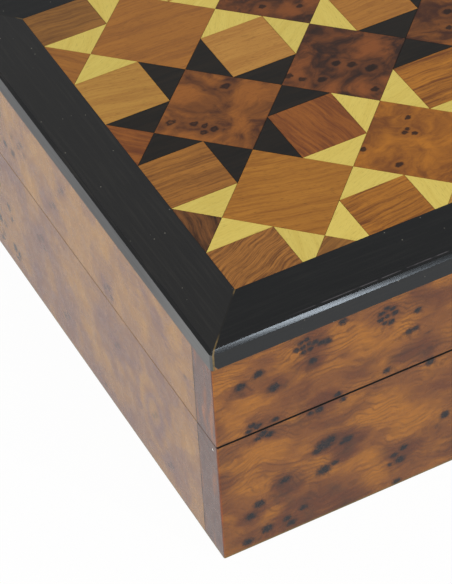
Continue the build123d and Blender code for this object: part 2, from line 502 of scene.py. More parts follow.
# Chosen places on the front, the left side and the top: along, up and radius.
FRONT_KNOTS = knots(
    (-73.1, 65.3, 0.95), (-78.5, 63.3, 1.0), (-69.0, 58.1, 1.1), (-75.9, 47.4, 0.7),
    (-74.2, 46.4, 0.75), (-72.7, 42.8, 0.9), (-76.9, 45.6, 0.6), (-74.4, 41.6, 0.6),
    (-70.8, 41.6, 0.8), (-68.9, 46.2, 0.6), (-66.9, 21.4, 0.95), (-74.9, 16.3, 1.0),
    (-77.6, 12.8, 1.0), (-72.9, 5.1, 1.1), (-65.4, 3.4, 0.9), (-78.9, 3.0, 0.95), (-66.8, 5.8, 0.7),
    (-61.6, 7.4, 0.8), (-55.1, 18.8, 1.25), (-51.6, 19.9, 0.7), (-60.5, 70.1, 0.55),
    (-58.8, 70.5, 0.6), (-61.9, 68.2, 0.65), (-60.0, 68.2, 0.6), (-58.2, 68.7, 0.55),
    (-56.5, 68.4, 0.75), (-57.9, 66.8, 0.65), (-59.8, 66.4, 0.6), (-54.6, 67.4, 0.7),
    (-53.0, 67.0, 0.9), (-57.2, 62.0, 0.85), (-48.1, 71.6, 0.8), (-36.6, 68.8, 0.6),
    (-34.9, 70.0, 0.6), (-33.2, 69.0, 0.6), (-32.6, 67.2, 0.6), (-36.9, 66.6, 0.65),
    (-35.0, 67.0, 0.5), (-35.6, 64.9, 0.6), (-33.8, 64.4, 0.65), (-28.3, 58.1, 0.8),
    (-26.4, 58.4, 0.7), (-25.6, 64.7, 0.7), (-50.1, 45.7, 0.7), (-48.5, 43.0, 0.6),
    (-55.9, 42.9, 0.8), (-58.4, 42.8, 0.6), (-35.1, 47.0, 0.7), (-54.6, 28.6, 1.55),
    (-52.8, 29.6, 1.1), (-56.8, 27.2, 0.8), (-47.7, 27.0, 1.0), (-49.2, 26.4, 0.6),
    (-30.0, 14.2, 0.8), (-33.1, 12.7, 0.7), (-31.2, 9.9, 0.95), (-34.4, 9.6, 0.5),
    (-32.4, 1.6, 0.8),
)

FRONT_CLOUDS = knots(
    (-57.5, 67.5, 5.5), (-34.6, 67.0, 4.5), (-72.0, 44.0, 5.5), (-63.0, 52.0, 4.0),
    (-46.0, 27.0, 4.5), (-47.5, 20.5, 3.2), (-54.0, 28.5, 4.0), (-57.5, 7.5, 8.0),
    (-50.0, 2.5, 6.0), (-65.0, 3.0, 6.0), (-78.5, 12.0, 3.0), (-31.0, 11.5, 5.0),
    (-25.0, 50.0, 5.5), (-25.0, 69.0, 4.5), (-54.0, 46.0, 5.0), (-66.0, 21.0, 3.5),
    (-68.0, 58.0, 3.5), (-78.0, 62.0, 3.0), (-44.0, 51.0, 4.0), (-57.0, 61.0, 3.0),
    (-63.8, 17.0, 3.4),
)

FRONT_GLOWS = knots(
    (-73.0, 31.0, 7.5), (-35.0, 31.0, 8.0), (-42.0, 63.5, 5.0), (-77.0, 53.5, 5.0),
    (-62.0, 29.0, 5.0), (-56.0, 23.6, 2.8), (-39.0, 7.0, 5.0), (-76.0, 22.5, 4.5),
    (-64.5, 66.0, 4.0), (-29.0, 63.0, 3.5), (-83.0, 68.0, 4.0), (-72.0, 10.0, 3.0),
    (-43.5, 14.5, 4.0), (-29.5, 24.0, 6.0), (-49.4, 69.3, 3.2),
)

SIDE_SMUDGES = knots(
    (-19.3, 48.9, 4.0), (15.3, 52.8, 4.5), (28.1, 29.8, 6.0), (13.8, 10.6, 6.0), (-9.0, 1.6, 6.0),
    (-22.3, 29.5, 4.0), (-12.0, 33.0, 3.5), (-52.3, 8.4, 4.5), (-66.1, 55.7, 2.8), (7.6, 63.8, 4.0),
    (-43.6, 67.8, 2.5), (-24.7, 4.7, 4.0), (36.0, 60.0, 6.0), (52.0, 40.0, 7.0), (-52.6, 28.6, 2.4),
    (-33.8, 18.3, 1.8),
)

SIDE_GLOWS = knots(
    (-51.8, 71.0, 2.5), (-59.7, 65.6, 4.5), (-66.9, 60.0, 3.5), (-31.2, 58.8, 5.5),
    (-38.7, 55.1, 4.0), (-1.0, 33.0, 6.0), (9.7, 29.5, 4.5), (-2.2, 18.9, 3.0), (-7.0, 14.5, 2.6),
    (-13.7, 16.0, 2.6), (-22.0, 20.5, 2.4), (-30.0, 25.5, 2.6), (-66.9, 28.0, 5.0),
    (-66.8, 12.8, 4.0), (-1.0, 55.0, 4.5), (-17.0, 63.0, 4.0), (30.0, 48.0, 5.0),
    (-43.8, 21.5, 3.6),
)

SIDE_RINGS = knots((-43.8, 21.5, 4.6))

SIDE_KNOTS = knots(
    (-19.8, 50.2, 0.9), (-17.5, 48.6, 0.7), (-21.4, 47.7, 0.8), (14.6, 53.7, 1.0),
    (17.1, 51.8, 0.8), (27.2, 31.2, 1.0), (30.0, 29.2, 0.9), (26.2, 28.0, 0.7), (13.0, 11.7, 0.9),
    (15.6, 9.7, 1.0), (-22.9, 30.4, 0.8), (-20.9, 28.7, 0.7), (-52.9, 9.3, 0.9), (-50.9, 7.7, 0.7),
    (7.0, 64.8, 0.9), (9.3, 63.0, 0.7), (-10.3, 3.6, 0.8), (-66.4, 56.4, 0.7), (-45.0, 22.6, 0.8),
    (-43.3, 20.6, 0.7), (35.4, 60.6, 1.0), (37.6, 58.4, 0.8), (33.6, 57.9, 0.7),
)

TOP_KNOTS = knots(
    (-33.7, 8.2, 1.0), (-54.0, 2.1, 1.0), (-48.9, -1.6, 0.9), (-48.1, -6.3, 0.8),
    (-45.1, -6.5, 0.9), (-46.6, -3.8, 0.7), (-2.2, 1.1, 1.0), (5.1, -5.8, 1.2), (-9.3, -3.1, 0.9),
    (-16.5, 3.0, 1.0), (-14.1, -0.2, 0.9), (1.2, -14.4, 0.8), (1.1, -1.7, 1.0),
    (-14.2, -34.6, 0.85), (-8.9, -45.2, 0.9), (-1.1, -34.4, 0.75), (1.2, -36.0, 0.7),
    (0.4, -33.4, 0.6), (2.9, -29.5, 0.7), (-7.9, 34.5, 0.9), (48.0, -4.0, 0.9), (36.5, 5.0, 1.0),
    (33.0, -1.5, 0.8), (43.0, 3.5, 0.9), (4.0, 38.5, 0.8), (-3.5, 42.0, 1.0), (1.5, 29.0, 0.7),
)

TOP_GLOWS = knots(
    (-36.0, 12.5, 3.2), (-45.0, 11.5, 4.5), (-28.5, 2.0, 4.0), (-38.5, -9.0, 3.0),
    (-9.5, -8.0, 3.5), (-15.0, 3.0, 3.0), (-1.0, -12.5, 2.5), (-7.9, 34.5, 3.5), (-2.1, 29.1, 3.0),
    (8.0, 41.0, 4.0), (9.5, 3.5, 3.0), (38.0, -7.0, 4.0), (50.0, 4.0, 4.0),
)

# How a soft patch fades from its middle, in its radii.
PATCH_FADE = Step(0.1, 1.7, 1.0, 0.0)


def patches(flat: Value, dark: Sequence[Knot], light: Sequence[Knot],
            stretch: tuple[float, float]) -> Value:
    """Soft patches on one face.

    Args:
        flat: Place on the face.
        dark: Places of the dark patches.
        light: Places of the light ones.
        stretch: How much longer than round a patch is, along and up.

    Returns:
        1 in a dark patch, -1 in a light one and 0 between them.
    """
    return flat.nearest(dark, stretch).step(PATCH_FADE) - \
        flat.nearest(light, stretch).step(PATCH_FADE)


def outside(at: Value, reach: float) -> Value:
    """1 within a reach of the outer faces."""
    return (abs(at.x) > HALF_WIDTH - reach).most(abs(at.y) > HALF_DEPTH - reach)


@dataclass(frozen=True)
class Ground:
    """Golden ground of the burl, with light and smoky patches."""

    gold: Tone = Tone(161, 101, 35)
    brown: Tone = Tone(126, 76, 35)
    russet: Tone = Tone(86, 44, 28)
    smoke: Tone = Tone(54, 36, 32)
    stretch: tuple[float, float] = (1.25, 0.9)
    base_gloom: Step = Step(34.0, 48.0, 0.16, 0.0)
    gloom: Cloud = Cloud((0.05, 0.05, 0.1), 6.0, 0.64, 0.5)
    gloom_drift: float = 0.18
    gloom_halo: float = 0.03
    gloom_step: Step = Step(0.43, 0.76)
    gloom_share: float = 0.8
    warmth: Cloud = Cloud((0.06, 0.06, 0.13), 5.0, 0.6)
    warmth_drift: float = 0.16
    warmth_step: Step = Step(0.4, 0.68)
    shade: Cloud = Cloud(0.16, 4.0, 0.6, step=Step(0.46, 0.72))

    def tone(self, swayed: Value, bent: Value, halo: Value) -> Value:
        """Mixes the ground.

        Args:
            swayed: Place, swayed a little.
            bent: Place, bent in long waves.
            halo: Nearness of an eye, from 0 to 1.

        Returns:
            The tone.
        """
        front = swayed.y < SKIN - HALF_DEPTH
        drift = patches(swayed.flat("xz"), FRONT_CLOUDS, FRONT_GLOWS, self.stretch) * front
        drift = drift + swayed.z.step(self.base_gloom)
        gloom = bent.cloud(self.gloom) + drift * self.gloom_drift + halo * self.gloom_halo
        warmth = bent.cloud(self.warmth) - drift * self.warmth_drift
        tone = warmth.step(self.warmth_step).mix(self.brown, self.gold)
        shade = swayed.cloud(self.shade).mix(self.russet, self.smoke)
        return (gloom.step(self.gloom_step) * self.gloom_share).mix(tone, shade)


@dataclass(frozen=True)
class Growth:
    """Fine fibres and dark growth lines of the burl, which flow round its eyes."""

    tone: Tone = Tone(62, 34, 22)
    share: float = 0.42
    height: float = 0.25
    lift: float = 1.8
    coarse: Cloud = Cloud((0.07, 0.07, 0.8), 7.0, 0.78, step=Step(0.42, 0.74))
    hairs: Cloud = Cloud((0.224, 0.224, 2.32), 3.0, 0.6, step=Step(0.5, 0.66, 0.0, 0.75))
    sweep: Step = Step(36.0, 52.0, 24.0, 12.0)
    reach: float = 5.0
    bend: float = 2.2
    flow: Cloud = Cloud((0.05, 0.05, 0.11), 3.0)
    swing: float = 30.0
    turns: float = 3.4
    place: Cloud = Cloud(0.07, 3.0, 0.6, step=Step(0.4, 0.6, 0.05, 1.0))
    rise: Step = Step(40.0, 50.0, 0.8, 1.0)
    line: Step = Step(0.0, 1.0, 0.0, 0.46)

    def fibres(self, bent: Value, halo: Value) -> Value:
        """Draws the fibres, nearly level.

        Args:
            bent: Place, bent in long waves.
            halo: Nearness of an eye, from 0 to 1.

        Returns:
            Their strength, from 0 to 1.
        """
        level = bent + bent.sketch.join(0.0, 0.0, halo * self.lift)
        return level.cloud(self.coarse).most(level.cloud(self.hairs))

    def streams(self, at: Value, bend: Sway, closest: Value) -> Value:
        """Draws the growth lines, which sweep about most in the base.

        Args:
            at: Place, in millimetres.
            bend: The long waves that bend everything.
            closest: Distance to the nearest eye.

        Returns:
            Their strength, from 0 to 1.
        """
        bent = at.swayed(replace(bend, reach=at.z.step(self.sweep)))
        near = closest.least(self.reach) * self.bend
        turns = bent.z * self.turns + near + bent.cloud(self.flow) * self.swing
        lines = turns.sine().step(self.line) * at.z.step(self.rise)
        return lines * bent.cloud(self.place)


@dataclass(frozen=True)
class Eyes:
    """Eyes of the burl: chosen ones on the front, and strewn ones elsewhere."""

    dark: Tone = Tone(20, 22, 28)
    heart: Tone = Tone(66, 48, 42)
    collar: Tone = Tone(56, 33, 25)
    stretch: tuple[float, float] = (1.45, 1.12)
    halo: Step = Step(1.0, 6.0, 1.0, 0.0)
    spacing: float = 5.0
    radius: float = 0.24
    apart: Cloud = Cloud(0.06, 1.0, step=Step(0.52, 0.58, 1.0, 0.0))
    dropped: float = 0.35
    chosen_edge: float = -24.0
    side_clear: float = 40.0
    fraying: Cloud = Cloud(1.3, 3.0, 0.6, step=Step(0.3, 0.7, -0.25, 0.3))
    collar_step: Step = Step(0.95, 1.95, 0.78, 0.0)
    cracks: Cloud = Cloud(1.9, 2.0, step=Step(0.48, 0.64, 0.0, 0.6))
    heart_step: Step = Step(0.78, 1.14, 0.95, 0.0)

    def closest(self, ragged: Value) -> Value:
        """Finds the nearest eye.

        Args:
            ragged: Place, with a little raggedness.

        Returns:
            The distance, in radii of the eye.
        """
        off_front = ragged.y > SKIN - HALF_DEPTH
        chosen = ragged.flat("xz").nearest(FRONT_KNOTS, self.stretch) + off_front * FAR
        cells = ragged.cells(self.spacing)
        drawn = (1.0 - off_front) * (ragged.x < self.chosen_edge)
        on_left = (ragged.x < SKIN - HALF_WIDTH) * (ragged.y < self.side_clear)
        dropped = cells["Color"].x < self.dropped
        hidden = ragged.cloud(self.apart) + dropped + drawn + on_left
        return chosen.least(cells["Distance"] / self.radius + hidden * FAR)

    def over(self, at: Value, closest: Value, tone: Value) -> Value:
        """Lays the eyes over a tone, each with a brown collar and a mottled heart.

        Args:
            at: Place, in millimetres.
            closest: Distance to the nearest eye.
            tone: What lies below.

        Returns:
            The new tone.
        """
        frayed = closest + at.cloud(self.fraying)
        tone = frayed.step(self.collar_step).mix(tone, self.collar)
        heart = at.cloud(self.cracks).mix(self.dark, self.heart)
        return frayed.step(self.heart_step).mix(tone, heart)


@dataclass(frozen=True)
class SideFigure:
    """Paler figure of the left side: soft patches, faint eyes and one ring.

    The weights are those of bands, patches, ring, halo, fibres, growth lines
    and lid.
    """

    light: Tone = Tone(150, 108, 53)
    dark: Tone = Tone(107, 74, 64)
    knot: Tone = Tone(50, 38, 36)
    swirl: Sway = Sway(0.08, 5.0, 3.0)
    broad: Cloud = Cloud((0.06, 0.07, 0.055), 3.0, 0.5)
    turns: float = 36.0
    patch_stretch: tuple[float, float] = (1.1, 1.1)
    ring_stretch: tuple[float, float] = (0.85, 1.25)
    knot_stretch: tuple[float, float] = (1.25, 1.0)
    ring: Band = Band(0.7, 1.15, 1.15, 1.7)
    halo: Band = Band(1.6, 2.0, 2.0, 2.6)
    broken: Cloud = Cloud(0.11, 2.0, step=Step(0.38, 0.58, 0.7, 1.0))
    middle: float = 0.47
    contrast: float = 1.1
    weights: Sequence[float] = (0.05, 0.22, -0.34, 0.2, -0.15, -0.3, 0.13)
    tone_step: Step = Step(0.08, 0.92)
    knot_step: Step = Step(0.6, 1.7, 0.5, 0.0)

    def tone(self, at: Value, ragged: Value, fibres: Value, streams: Value) -> Value:
        """Mixes the tone of the side.

        Args:
            at: Place, in millimetres.
            ragged: Place, with a little raggedness.
            fibres: Strength of the fine fibres, from 0 to 1.
            streams: Strength of the growth lines, from 0 to 1.

        Returns:
            The tone.
        """
        swirled = at.swayed(self.swirl)
        flat, broad = swirled.flat("yz"), swirled.cloud(self.broad)
        away, broken = flat.nearest(SIDE_RINGS, self.ring_stretch), at.cloud(self.broken)
        parts = (
            (broad * self.turns).sine(),
            patches(flat, SIDE_GLOWS, SIDE_SMUDGES, self.patch_stretch),
            away.band(self.ring) * broken,
            away.band(self.halo) * broken,
            fibres,
            streams,
            at.z > SEAM_Z,
        )
        value = (broad - 0.5) * self.contrast + self.middle
        for part, weight in zip(parts, self.weights):
            value = value + part * weight
        tone = value.step(self.tone_step).mix(self.dark, self.light)
        knot = ragged.flat("yz").nearest(SIDE_KNOTS, self.knot_stretch)
        return knot.step(self.knot_step).mix(tone, self.knot)


@dataclass(frozen=True)
class EndGrain:
    """End grain of the front and back boards: dull mauve, with warm and dark streaks."""

    mauve: Tone = Tone(88, 62, 55)
    glow: Tone = Tone(140, 82, 38)
    shade: Tone = Tone(60, 44, 44)
    sway: Sway = Sway(0.07, 4.0, 1.0)
    streaks: Cloud = Cloud((0.3, 0.3, 0.06), 2.0, 0.5)
    outer: Step = Step(HALF_DEPTH - 7.0, HALF_DEPTH, 0.5, 1.0)
    above_seam: Step = Step(SEAM_Z - 1.0, SEAM_Z + 2.0)
    below_top: Step = Step(SEAM_Z + 8.0, SEAM_Z + 20.0, 1.0, 0.1)
    glow_weight: float = 0.19
    glow_step: Step = Step(0.52, 0.8, 0.0, 0.8)
    shade_step: Step = Step(0.28, 0.46, 0.4, 0.0)

    def tone(self, at: Value) -> Value:
        """Mixes the tone of the end grain.

        Args:
            at: Place, in millimetres.

        Returns:
            The tone.
        """
        streak = at.swayed(self.sway).cloud(self.streaks)
        near = abs(at.y).step(self.outer) * at.z.step(self.above_seam) * at.z.step(self.below_top)
        glow = (streak + near * self.glow_weight).step(self.glow_step)
        tone = glow.mix(self.mauve, self.glow)
        return streak.step(self.shade_step).mix(tone, self.shade)


@dataclass(frozen=True)
class Wear:
    """Rubbed corners, joint lines, foot and one chip, and painted shade in the seam."""

    rubbed: Tone = Tone(140, 66, 34)
    rub_x: Step = Step(HALF_WIDTH - 0.8, HALF_WIDTH - 0.1)
    rub_y: Step = Step(HALF_DEPTH - 0.8, HALF_DEPTH - 0.1)
    rub_patches: Cloud = Cloud(0.09, 2.0, step=Step(0.42, 0.66, 0.1, 0.5))
    # The first tone darkens the joint lines and is the painted shade of the seam on the front; the
    # next two are the seam's painted shade on the side and on the end grain.
    joint_grime_and_seam_shade: Tone = Tone(12, 9, 8)
    side_seam_shade: Tone = Tone(122, 93, 66)
    end_seam_shade: Tone = Tone(84, 58, 46)
    seam: Step = Step(0.324, 0.432, 1.0, 0.0)
    seam_reach: float = 0.4
    joint: Step = Step(0.12, 0.3, 1.0, 0.0)
    joint_reach: float = 0.3
    joint_gaps: Cloud = Cloud(0.16, 2.0, step=Step(0.35, 0.6, 0.35, 0.95))
    foot: Tone = Tone(112, 96, 50)
    foot_step: Step = Step(0.5, 1.3, 0.75, 0.0)
    foot_reach: float = 0.6
    chip: Tone = Tone(205, 205, 200)
    chip_place: Triple = (-86.4, -80.4, 41.6)
    chip_step: Step = Step(0.25, 0.45, 1.0, 0.0)

    def over(self, at: Value, tone: Value) -> Value:
        """Lays the wear over a tone.

        Args:
            at: Place, in millimetres.
            tone: What lies below.

        Returns:
            The new tone.
        """
        wide, deep = abs(at.x), abs(at.y)
        wear_and_reflection = wide.step(self.rub_x) * deep.step(self.rub_y) * at.cloud(self.rub_patches)
        tone = wear_and_reflection.mix(tone, self.rubbed)
        gap = abs(deep - (HALF_DEPTH - BOARD)).step(self.joint)
        gap = gap * (wide > HALF_WIDTH - self.joint_reach) * at.cloud(self.joint_gaps)
        tone = gap.mix(tone, self.joint_grime_and_seam_shade)
        foot = at.z.step(self.foot_step) * outside(at, self.foot_reach)
        tone = foot.mix(tone, self.foot)
        return at.distance(self.chip_place).step(self.chip_step).mix(tone, self.chip)

    def seam_shade_share(self, at: Value) -> Value:
        """1 in the little groove between lid and base, where its shade is painted."""
        return abs(at.z - SEAM_Z).step(self.seam) * outside(at, self.seam_reach)


@dataclass(frozen=True)
class BurlFinish:
    """Polished burl: golden ground, smoky patches, fine level fibres and eyes in clusters."""

    name: str = "burl_wood"
    polish: Polish = Polish(roughness=0.27, specular=0.27, relief_mm=0.012)
    satin: Cloud = Cloud(0.3, 3.0, step=Step(0.3, 0.7, 0.24, 0.32))
    ragged: Sway = Sway(0.7, 0.85, 3.0)
    swayed: Sway = Sway(0.13, 4.5, 3.0)
    streaks: Cloud = Cloud((0.06, 0.06, 0.8), 6.0, 0.75)
    streak_rise: float = 7.0
    bend: Sway = Sway(0.045, 12.0, 3.0)
    ground: Ground = Ground()
    growth: Growth = Growth()
    eyes: Eyes = Eyes()
    side: SideFigure = SideFigure()
    end_grain: EndGrain = EndGrain()
    wear: Wear = Wear()

    def build(self) -> bpy.types.Material:
        """Makes the material.

        Returns:
            The material.
        """
        made = Finish(self.name, self.polish)
        at, facing = made.at, made.sketch.facing()
        ragged, bent = at.swayed(self.ragged), at.swayed(self.bend)
        swayed = at.swayed(self.swayed)
        rise = (swayed.cloud(self.streaks) - 0.5) * self.streak_rise
        swayed = swayed + made.sketch.join(0.0, 0.0, rise)
        closest = self.eyes.closest(ragged)
        halo = closest.step(self.eyes.halo)
        left = facing.x < -SQUARE_ON
        end = (abs(facing.x) > SQUARE_ON) * (abs(at.y) > HALF_DEPTH - BOARD)
        fibres = self.growth.fibres(bent, halo)
        streams = self.growth.streams(at, self.bend, closest)
        tone = self.ground.tone(swayed, bent, halo)
        tone = (fibres * self.growth.share).mix(tone, self.growth.tone)
        tone = streams.mix(tone, self.growth.tone)
        tone = left.mix(tone, self.side.tone(at, ragged, fibres, streams))
        tone = self.eyes.over(at, closest, tone)
        tone = end.mix(tone, self.end_grain.tone(at))
        tone = self.wear.over(at, tone)
        # Painted shade: the seam between lid and base is coloured dark, nearly black on the front
        # and paler on the left side and the end grain.
        seam = self.wear.seam_shade_share(at)
        side_seam_shade = end.mix(self.wear.side_seam_shade, self.wear.end_seam_shade)
        made.colour(seam.mix(tone, left.mix(self.wear.joint_grime_and_seam_shade, side_seam_shade)))
        made.roughness(at.cloud(self.satin).most(seam * (1.0 - left)))
        made.relief(fibres * self.growth.height - halo)
        return made.material


@dataclass(frozen=True)
class BurlFigure:
    """Swirled figure of the burl tiles, with ringed knots at chosen places."""

    knot: Tone = Tone(40, 26, 20)
    ragged: Sway = Sway(0.7, 1.6, 3.0)
    swayed: Sway = Sway(0.16, 4.0, 3.0)
    bent: Sway = Sway(0.06, 14.0, 3.0)
    knot_stretch: tuple[float, float] = (1.25, 1.0)
    glow_stretch: tuple[float, float] = (1.0, 1.0)
    halo: Step = Step(1.0, 5.0, 1.0, 0.0)
    glow: Step = Step(0.1, 1.6, 1.0, 0.0)
    clouds: Cloud = Cloud(0.07, 6.0, 0.62, 0.9)
    halo_weight: float = 0.07
    glow_weight: float = 0.16
    cloud_step: Step = Step(0.34, 0.66)
    swirls: Cloud = Cloud((0.12, 0.5, 0.3), 6.0, 0.7, 0.6, Step(0.46, 0.74, 0.0, 0.38))
    lip: Band = Band(1.0, 1.5, 1.7, 2.8, 0.32)
    rim: Band = Band(0.2, 0.75, 0.75, 1.3, 0.92)
    solid_from: Step = Step(-30.0, -22.0)
    solid: Step = Step(0.6, 1.0, 0.85, 0.0)
    faint: Step = Step(0.3, 0.9, 0.42, 0.0)

    def tone(self, at: Value, light: Value, dark: Value) -> Value:
        """Mixes the tone at a place.

        Args:
            at: Place, in millimetres.
            light: Light tone of the tile.
            dark: Dark tone of the tile.

        Returns:
            The tone.
        """
        closest = at.swayed(self.ragged).flat("xy").nearest(TOP_KNOTS, self.knot_stretch)
        swayed = at.swayed(self.swayed)
        glow = swayed.flat("xy").nearest(TOP_GLOWS, self.glow_stretch).step(self.glow)
        bent = at.swayed(self.bent)
        clouds = bent.cloud(self.clouds) + closest.step(self.halo) * self.halo_weight
        clouds = clouds - glow * self.glow_weight
        tone = clouds.step(self.cloud_step).mix(light, dark)
        tone = bent.cloud(self.swirls).mix(tone, dark)
        tone = closest.band(self.lip).mix(tone, light)
        solid = swayed.x.step(self.solid_from) * closest.step(self.solid)
        heart = closest.band(self.rim).most(solid).most(closest.step(self.faint))
        return heart.mix(tone, self.knot)


@dataclass(frozen=True)
class TileWoodFinish:
    """Sliced wood of the marquetry, toned tile by tile.

    The grain map holds each tile's own place in millimetres with the fibres
    along U. The attributes light, dark and figure hold its colours, how much
    its fibres wave, how strongly they show and how closely they lie.
    """

    name: str
    polish: Polish = Polish(roughness=0.4, specular=0.21)
    burl: Optional[BurlFigure] = None
    pore: Tone = Tone(58, 36, 22)
    swing_turns: float = 0.55
    drift_waves: float = 0.06
    drift_reach: float = 9.0
    bands: Cloud = Cloud((0.018, 0.34, 1.0), 7.0, 0.78)
    lines: Cloud = Cloud((0.06, 1.3, 1.0), 3.0, 0.6)
    band_share: float = 0.62
    fibre_step: Step = Step(0.38, 0.64)
    patches: Cloud = Cloud(0.06, 2.0, step=Step(0.4, 0.7, 0.0, 0.35))
    pores: Cloud = Cloud((0.5, 4.2, 1.0), 2.0, step=Step(0.57, 0.7, 0.0, 0.4))

    def build(self) -> bpy.types.Material:
        """Makes the material.

        Returns:
            The material.
        """
        made = Finish(self.name, self.polish)
        draw = made.sketch
        at = draw.node("ShaderNodeUVMap", uv_map="grain")[0]
        light, dark = draw.attribute("light"), draw.attribute("dark")
        wave, contrast, pace = draw.attribute("figure", "Vector").parts
        lifted = at.y + (at.x * self.swing_turns).sine() * wave
        drift = at.drift(Sway(self.drift_waves, wave * self.drift_reach))
        bent = draw.join(at.x, lifted) + drift
        paced = bent * draw.join(1.0, pace, 1.0)
        bands = paced.cloud(self.bands) * self.band_share
        fibre = bands + paced.cloud(self.lines) * (1.0 - self.band_share)
        share = fibre.step(self.fibre_step) * contrast
        share = share.most(at.cloud(self.patches) * contrast)
        if self.burl:
            tone = self.burl.tone(made.at, light, dark)
        else:
            tone = share.mix(light, dark)
        made.colour((bent.cloud(self.pores) * contrast).mix(tone, self.pore))
        made.relief(-share)
        return made.material


@dataclass(frozen=True)
class EbonyFinish:
    """Oiled ebony: faint streaks along the fibres, pale specks, arrises polished by hands."""

    name: str
    run: Run
    polish: Polish = Polish(roughness=0.34, specular=0.29, tint=Tone(240, 248, 255),
                            relief_mm=1.0, relief_share=1.0)
    satin: Step = Step(0.2, 0.8, 0.31, 0.4)

    # Fibres, and the painted reflection that makes the upright faces of the two side lippings paler
    # grey towards the front end.
    ground: Tone = Tone(24, 24, 24)
    streak: Tone = Tone(34, 33, 31)
    along_ground: Tone = Tone(35, 34, 33)
    along_streak: Tone = Tone(45, 43, 40)
    upright_reflection: Tone = Tone(74, 74, 73)
    fibres: Cloud = Cloud((0.05, 1.4, 1.4), 4.0, 0.6)
    fibre_step: Step = Step(0.46, 0.74, 0.0, 0.8)
    reflection_fade: Step = Step(-76.0, -36.0, 1.0, 0.0)
    upward: Step = Step(0.3, 0.6)
    level: Step = Step(0.96, 0.99)

    # Bevels: directions that count as slanted, their gloss, rounding and grain.
    slant: Band = Band(0.25, 0.5, 0.85, 0.97)
    arris_roughness: float = 0.135
    arris_dimming: float = 0.65
    arris_round: float = 0.03
    grain: Cloud = Cloud(0.9, 3.0, 0.6)
    grain_mm: float = 0.0008

    # Specks, the painted highlight of a fine scratch line, and the filled corners of the ends.
    speck: Tone = Tone(150, 146, 134)
    speck_spacing: float = 2.8
    speck_step: Step = Step(0.048, 0.08, 0.55, 0.0)
    speck_dropped: float = 0.55
    scratch_highlight: Tone = Tone(84, 80, 82)
    scratch_inset: float = 2.0
    scratch_step: Step = Step(0.06, 0.22, 0.9, 0.0)
    highlight_span: Step = Step(48.0, 66.0, 1.0, 0.0)
    scratch_gaps: Cloud = Cloud(0.35, 3.0, step=Step(0.36, 0.56))
    filling: Tone = Tone(140, 92, 46)
    cut_end: float = 85.34
    cut_width: Step = Step(72.9, 74.4, 0.7, 0.0)
    cut_skin: float = 0.1

    def build(self) -> bpy.types.Material:
        """Makes the material.

        Returns:
            The material.
        """
        made = Finish(self.name, self.polish)
        at, up = made.at, made.sketch.facing().z
        lines = at.cloud(self.run.turned(self.fibres))
        ground: Term = self.ground
        streak: Term = self.streak
        slanted = up.band(self.slant)
        if self.run is Run.ALONG_Y:
            # Painted reflection: the upright faces of the side lippings are coloured paler grey
            # towards the front, fading out towards the back.
            wear_and_reflection = at.y.step(self.reflection_fade).mix(self.ground, self.upright_reflection)
            ground = up.step(self.upward).mix(wear_and_reflection, self.ground)
            ground = up.step(self.level).mix(ground, self.along_ground)
            streak = up.step(self.upward).mix(ground, self.along_streak)
            gloss = slanted * (-self.arris_dimming * self.polish.specular) + self.polish.specular
            made.shader.feed("Specular IOR Level", gloss)
        tone = lines.step(self.fibre_step).mix(ground, streak)
        tone = self._specks(at).mix(tone, self.speck)
        # Painted highlight: the fine scratch line is coloured lighter grey where it would catch the
        # lamp.
        tone = self._scratch_highlight(at).mix(tone, self.scratch_highlight)
        made.colour(self._filled(at).mix(tone, self.filling))
        satin = lines.step(self.satin) * (1.0 - slanted)
        made.roughness(satin + slanted * self.arris_roughness)
        made.relief(self._swell(at) * slanted + at.cloud(self.grain) * self.grain_mm)
        return made.material

    def _swell(self, at: Value) -> Value:
        """Rounds the bevels slightly.

        Args:
            at: Place, in millimetres.

        Returns:
            The height, in millimetres.
        """
        inset = (HALF_WIDTH - abs(at.x)).least(HALF_DEPTH - abs(at.y))
        across = LID_TOP - at.z - inset
        return across * across * (-self.arris_round / 2)

    def _specks(self, at: Value) -> Value:
        """1 on the pale specks of dust in the pores."""
        cells = at.cells(self.speck_spacing)
        return cells["Distance"].step(self.speck_step) * (cells["Color"].x > self.speck_dropped)

    def _scratch_highlight(self, at: Value) -> Value:
        """Draws the painted highlight of a fine scratch line beside the front and back bevels, only
        over the stretch where the bevels' highlight is brightest.

        Args:
            at: Place, in millimetres.

        Returns:
            Its strength, from 0 to 1.
        """
        inset = HALF_DEPTH - abs(at.y)
        line = abs(inset - self.scratch_inset).step(self.scratch_step)
        return line * abs(at.x).step(self.highlight_span) * at.cloud(self.scratch_gaps)

    def _filled(self, at: Value) -> Value:
        """Finds where the low corners of a lipping's end are broken away and filled.

        Args:
            at: Place, in millimetres.

        Returns:
            1 in the filling and 0 beside it.
        """
        inner = self.cut_end - at.z.step(self.cut_width)
        on_face = abs(at.y) > HALF_DEPTH - self.cut_skin
        return (abs(at.x) > inner) * on_face * (abs(at.x) < self.cut_end + self.cut_skin)


@dataclass(frozen=True)
class PlainWoodFinish:
    """Plain sawn and sanded wood with straight grain, for what lies inside."""

    name: str
    light: Tone
    dark: Tone
    run: Run = Run.ALONG_Y
    polish: Polish = Polish(roughness=0.55, specular=0.35, relief_mm=0.04, relief_share=0.6)
    bent: Sway = Sway(0.02, 10.0)
    fibres: Cloud = Cloud((0.03, 0.8, 0.8), 5.0, 0.6)
    fibre_step: Step = Step(0.38, 0.68)

    def build(self) -> bpy.types.Material:
        """Makes the material.

        Returns:
            The material.
        """
        made = Finish(self.name, self.polish)
        lines = made.at.swayed(self.bent).cloud(self.run.turned(self.fibres))
        made.colour(lines.step(self.fibre_step).mix(self.light, self.dark))
        made.relief(lines)
        return made.material


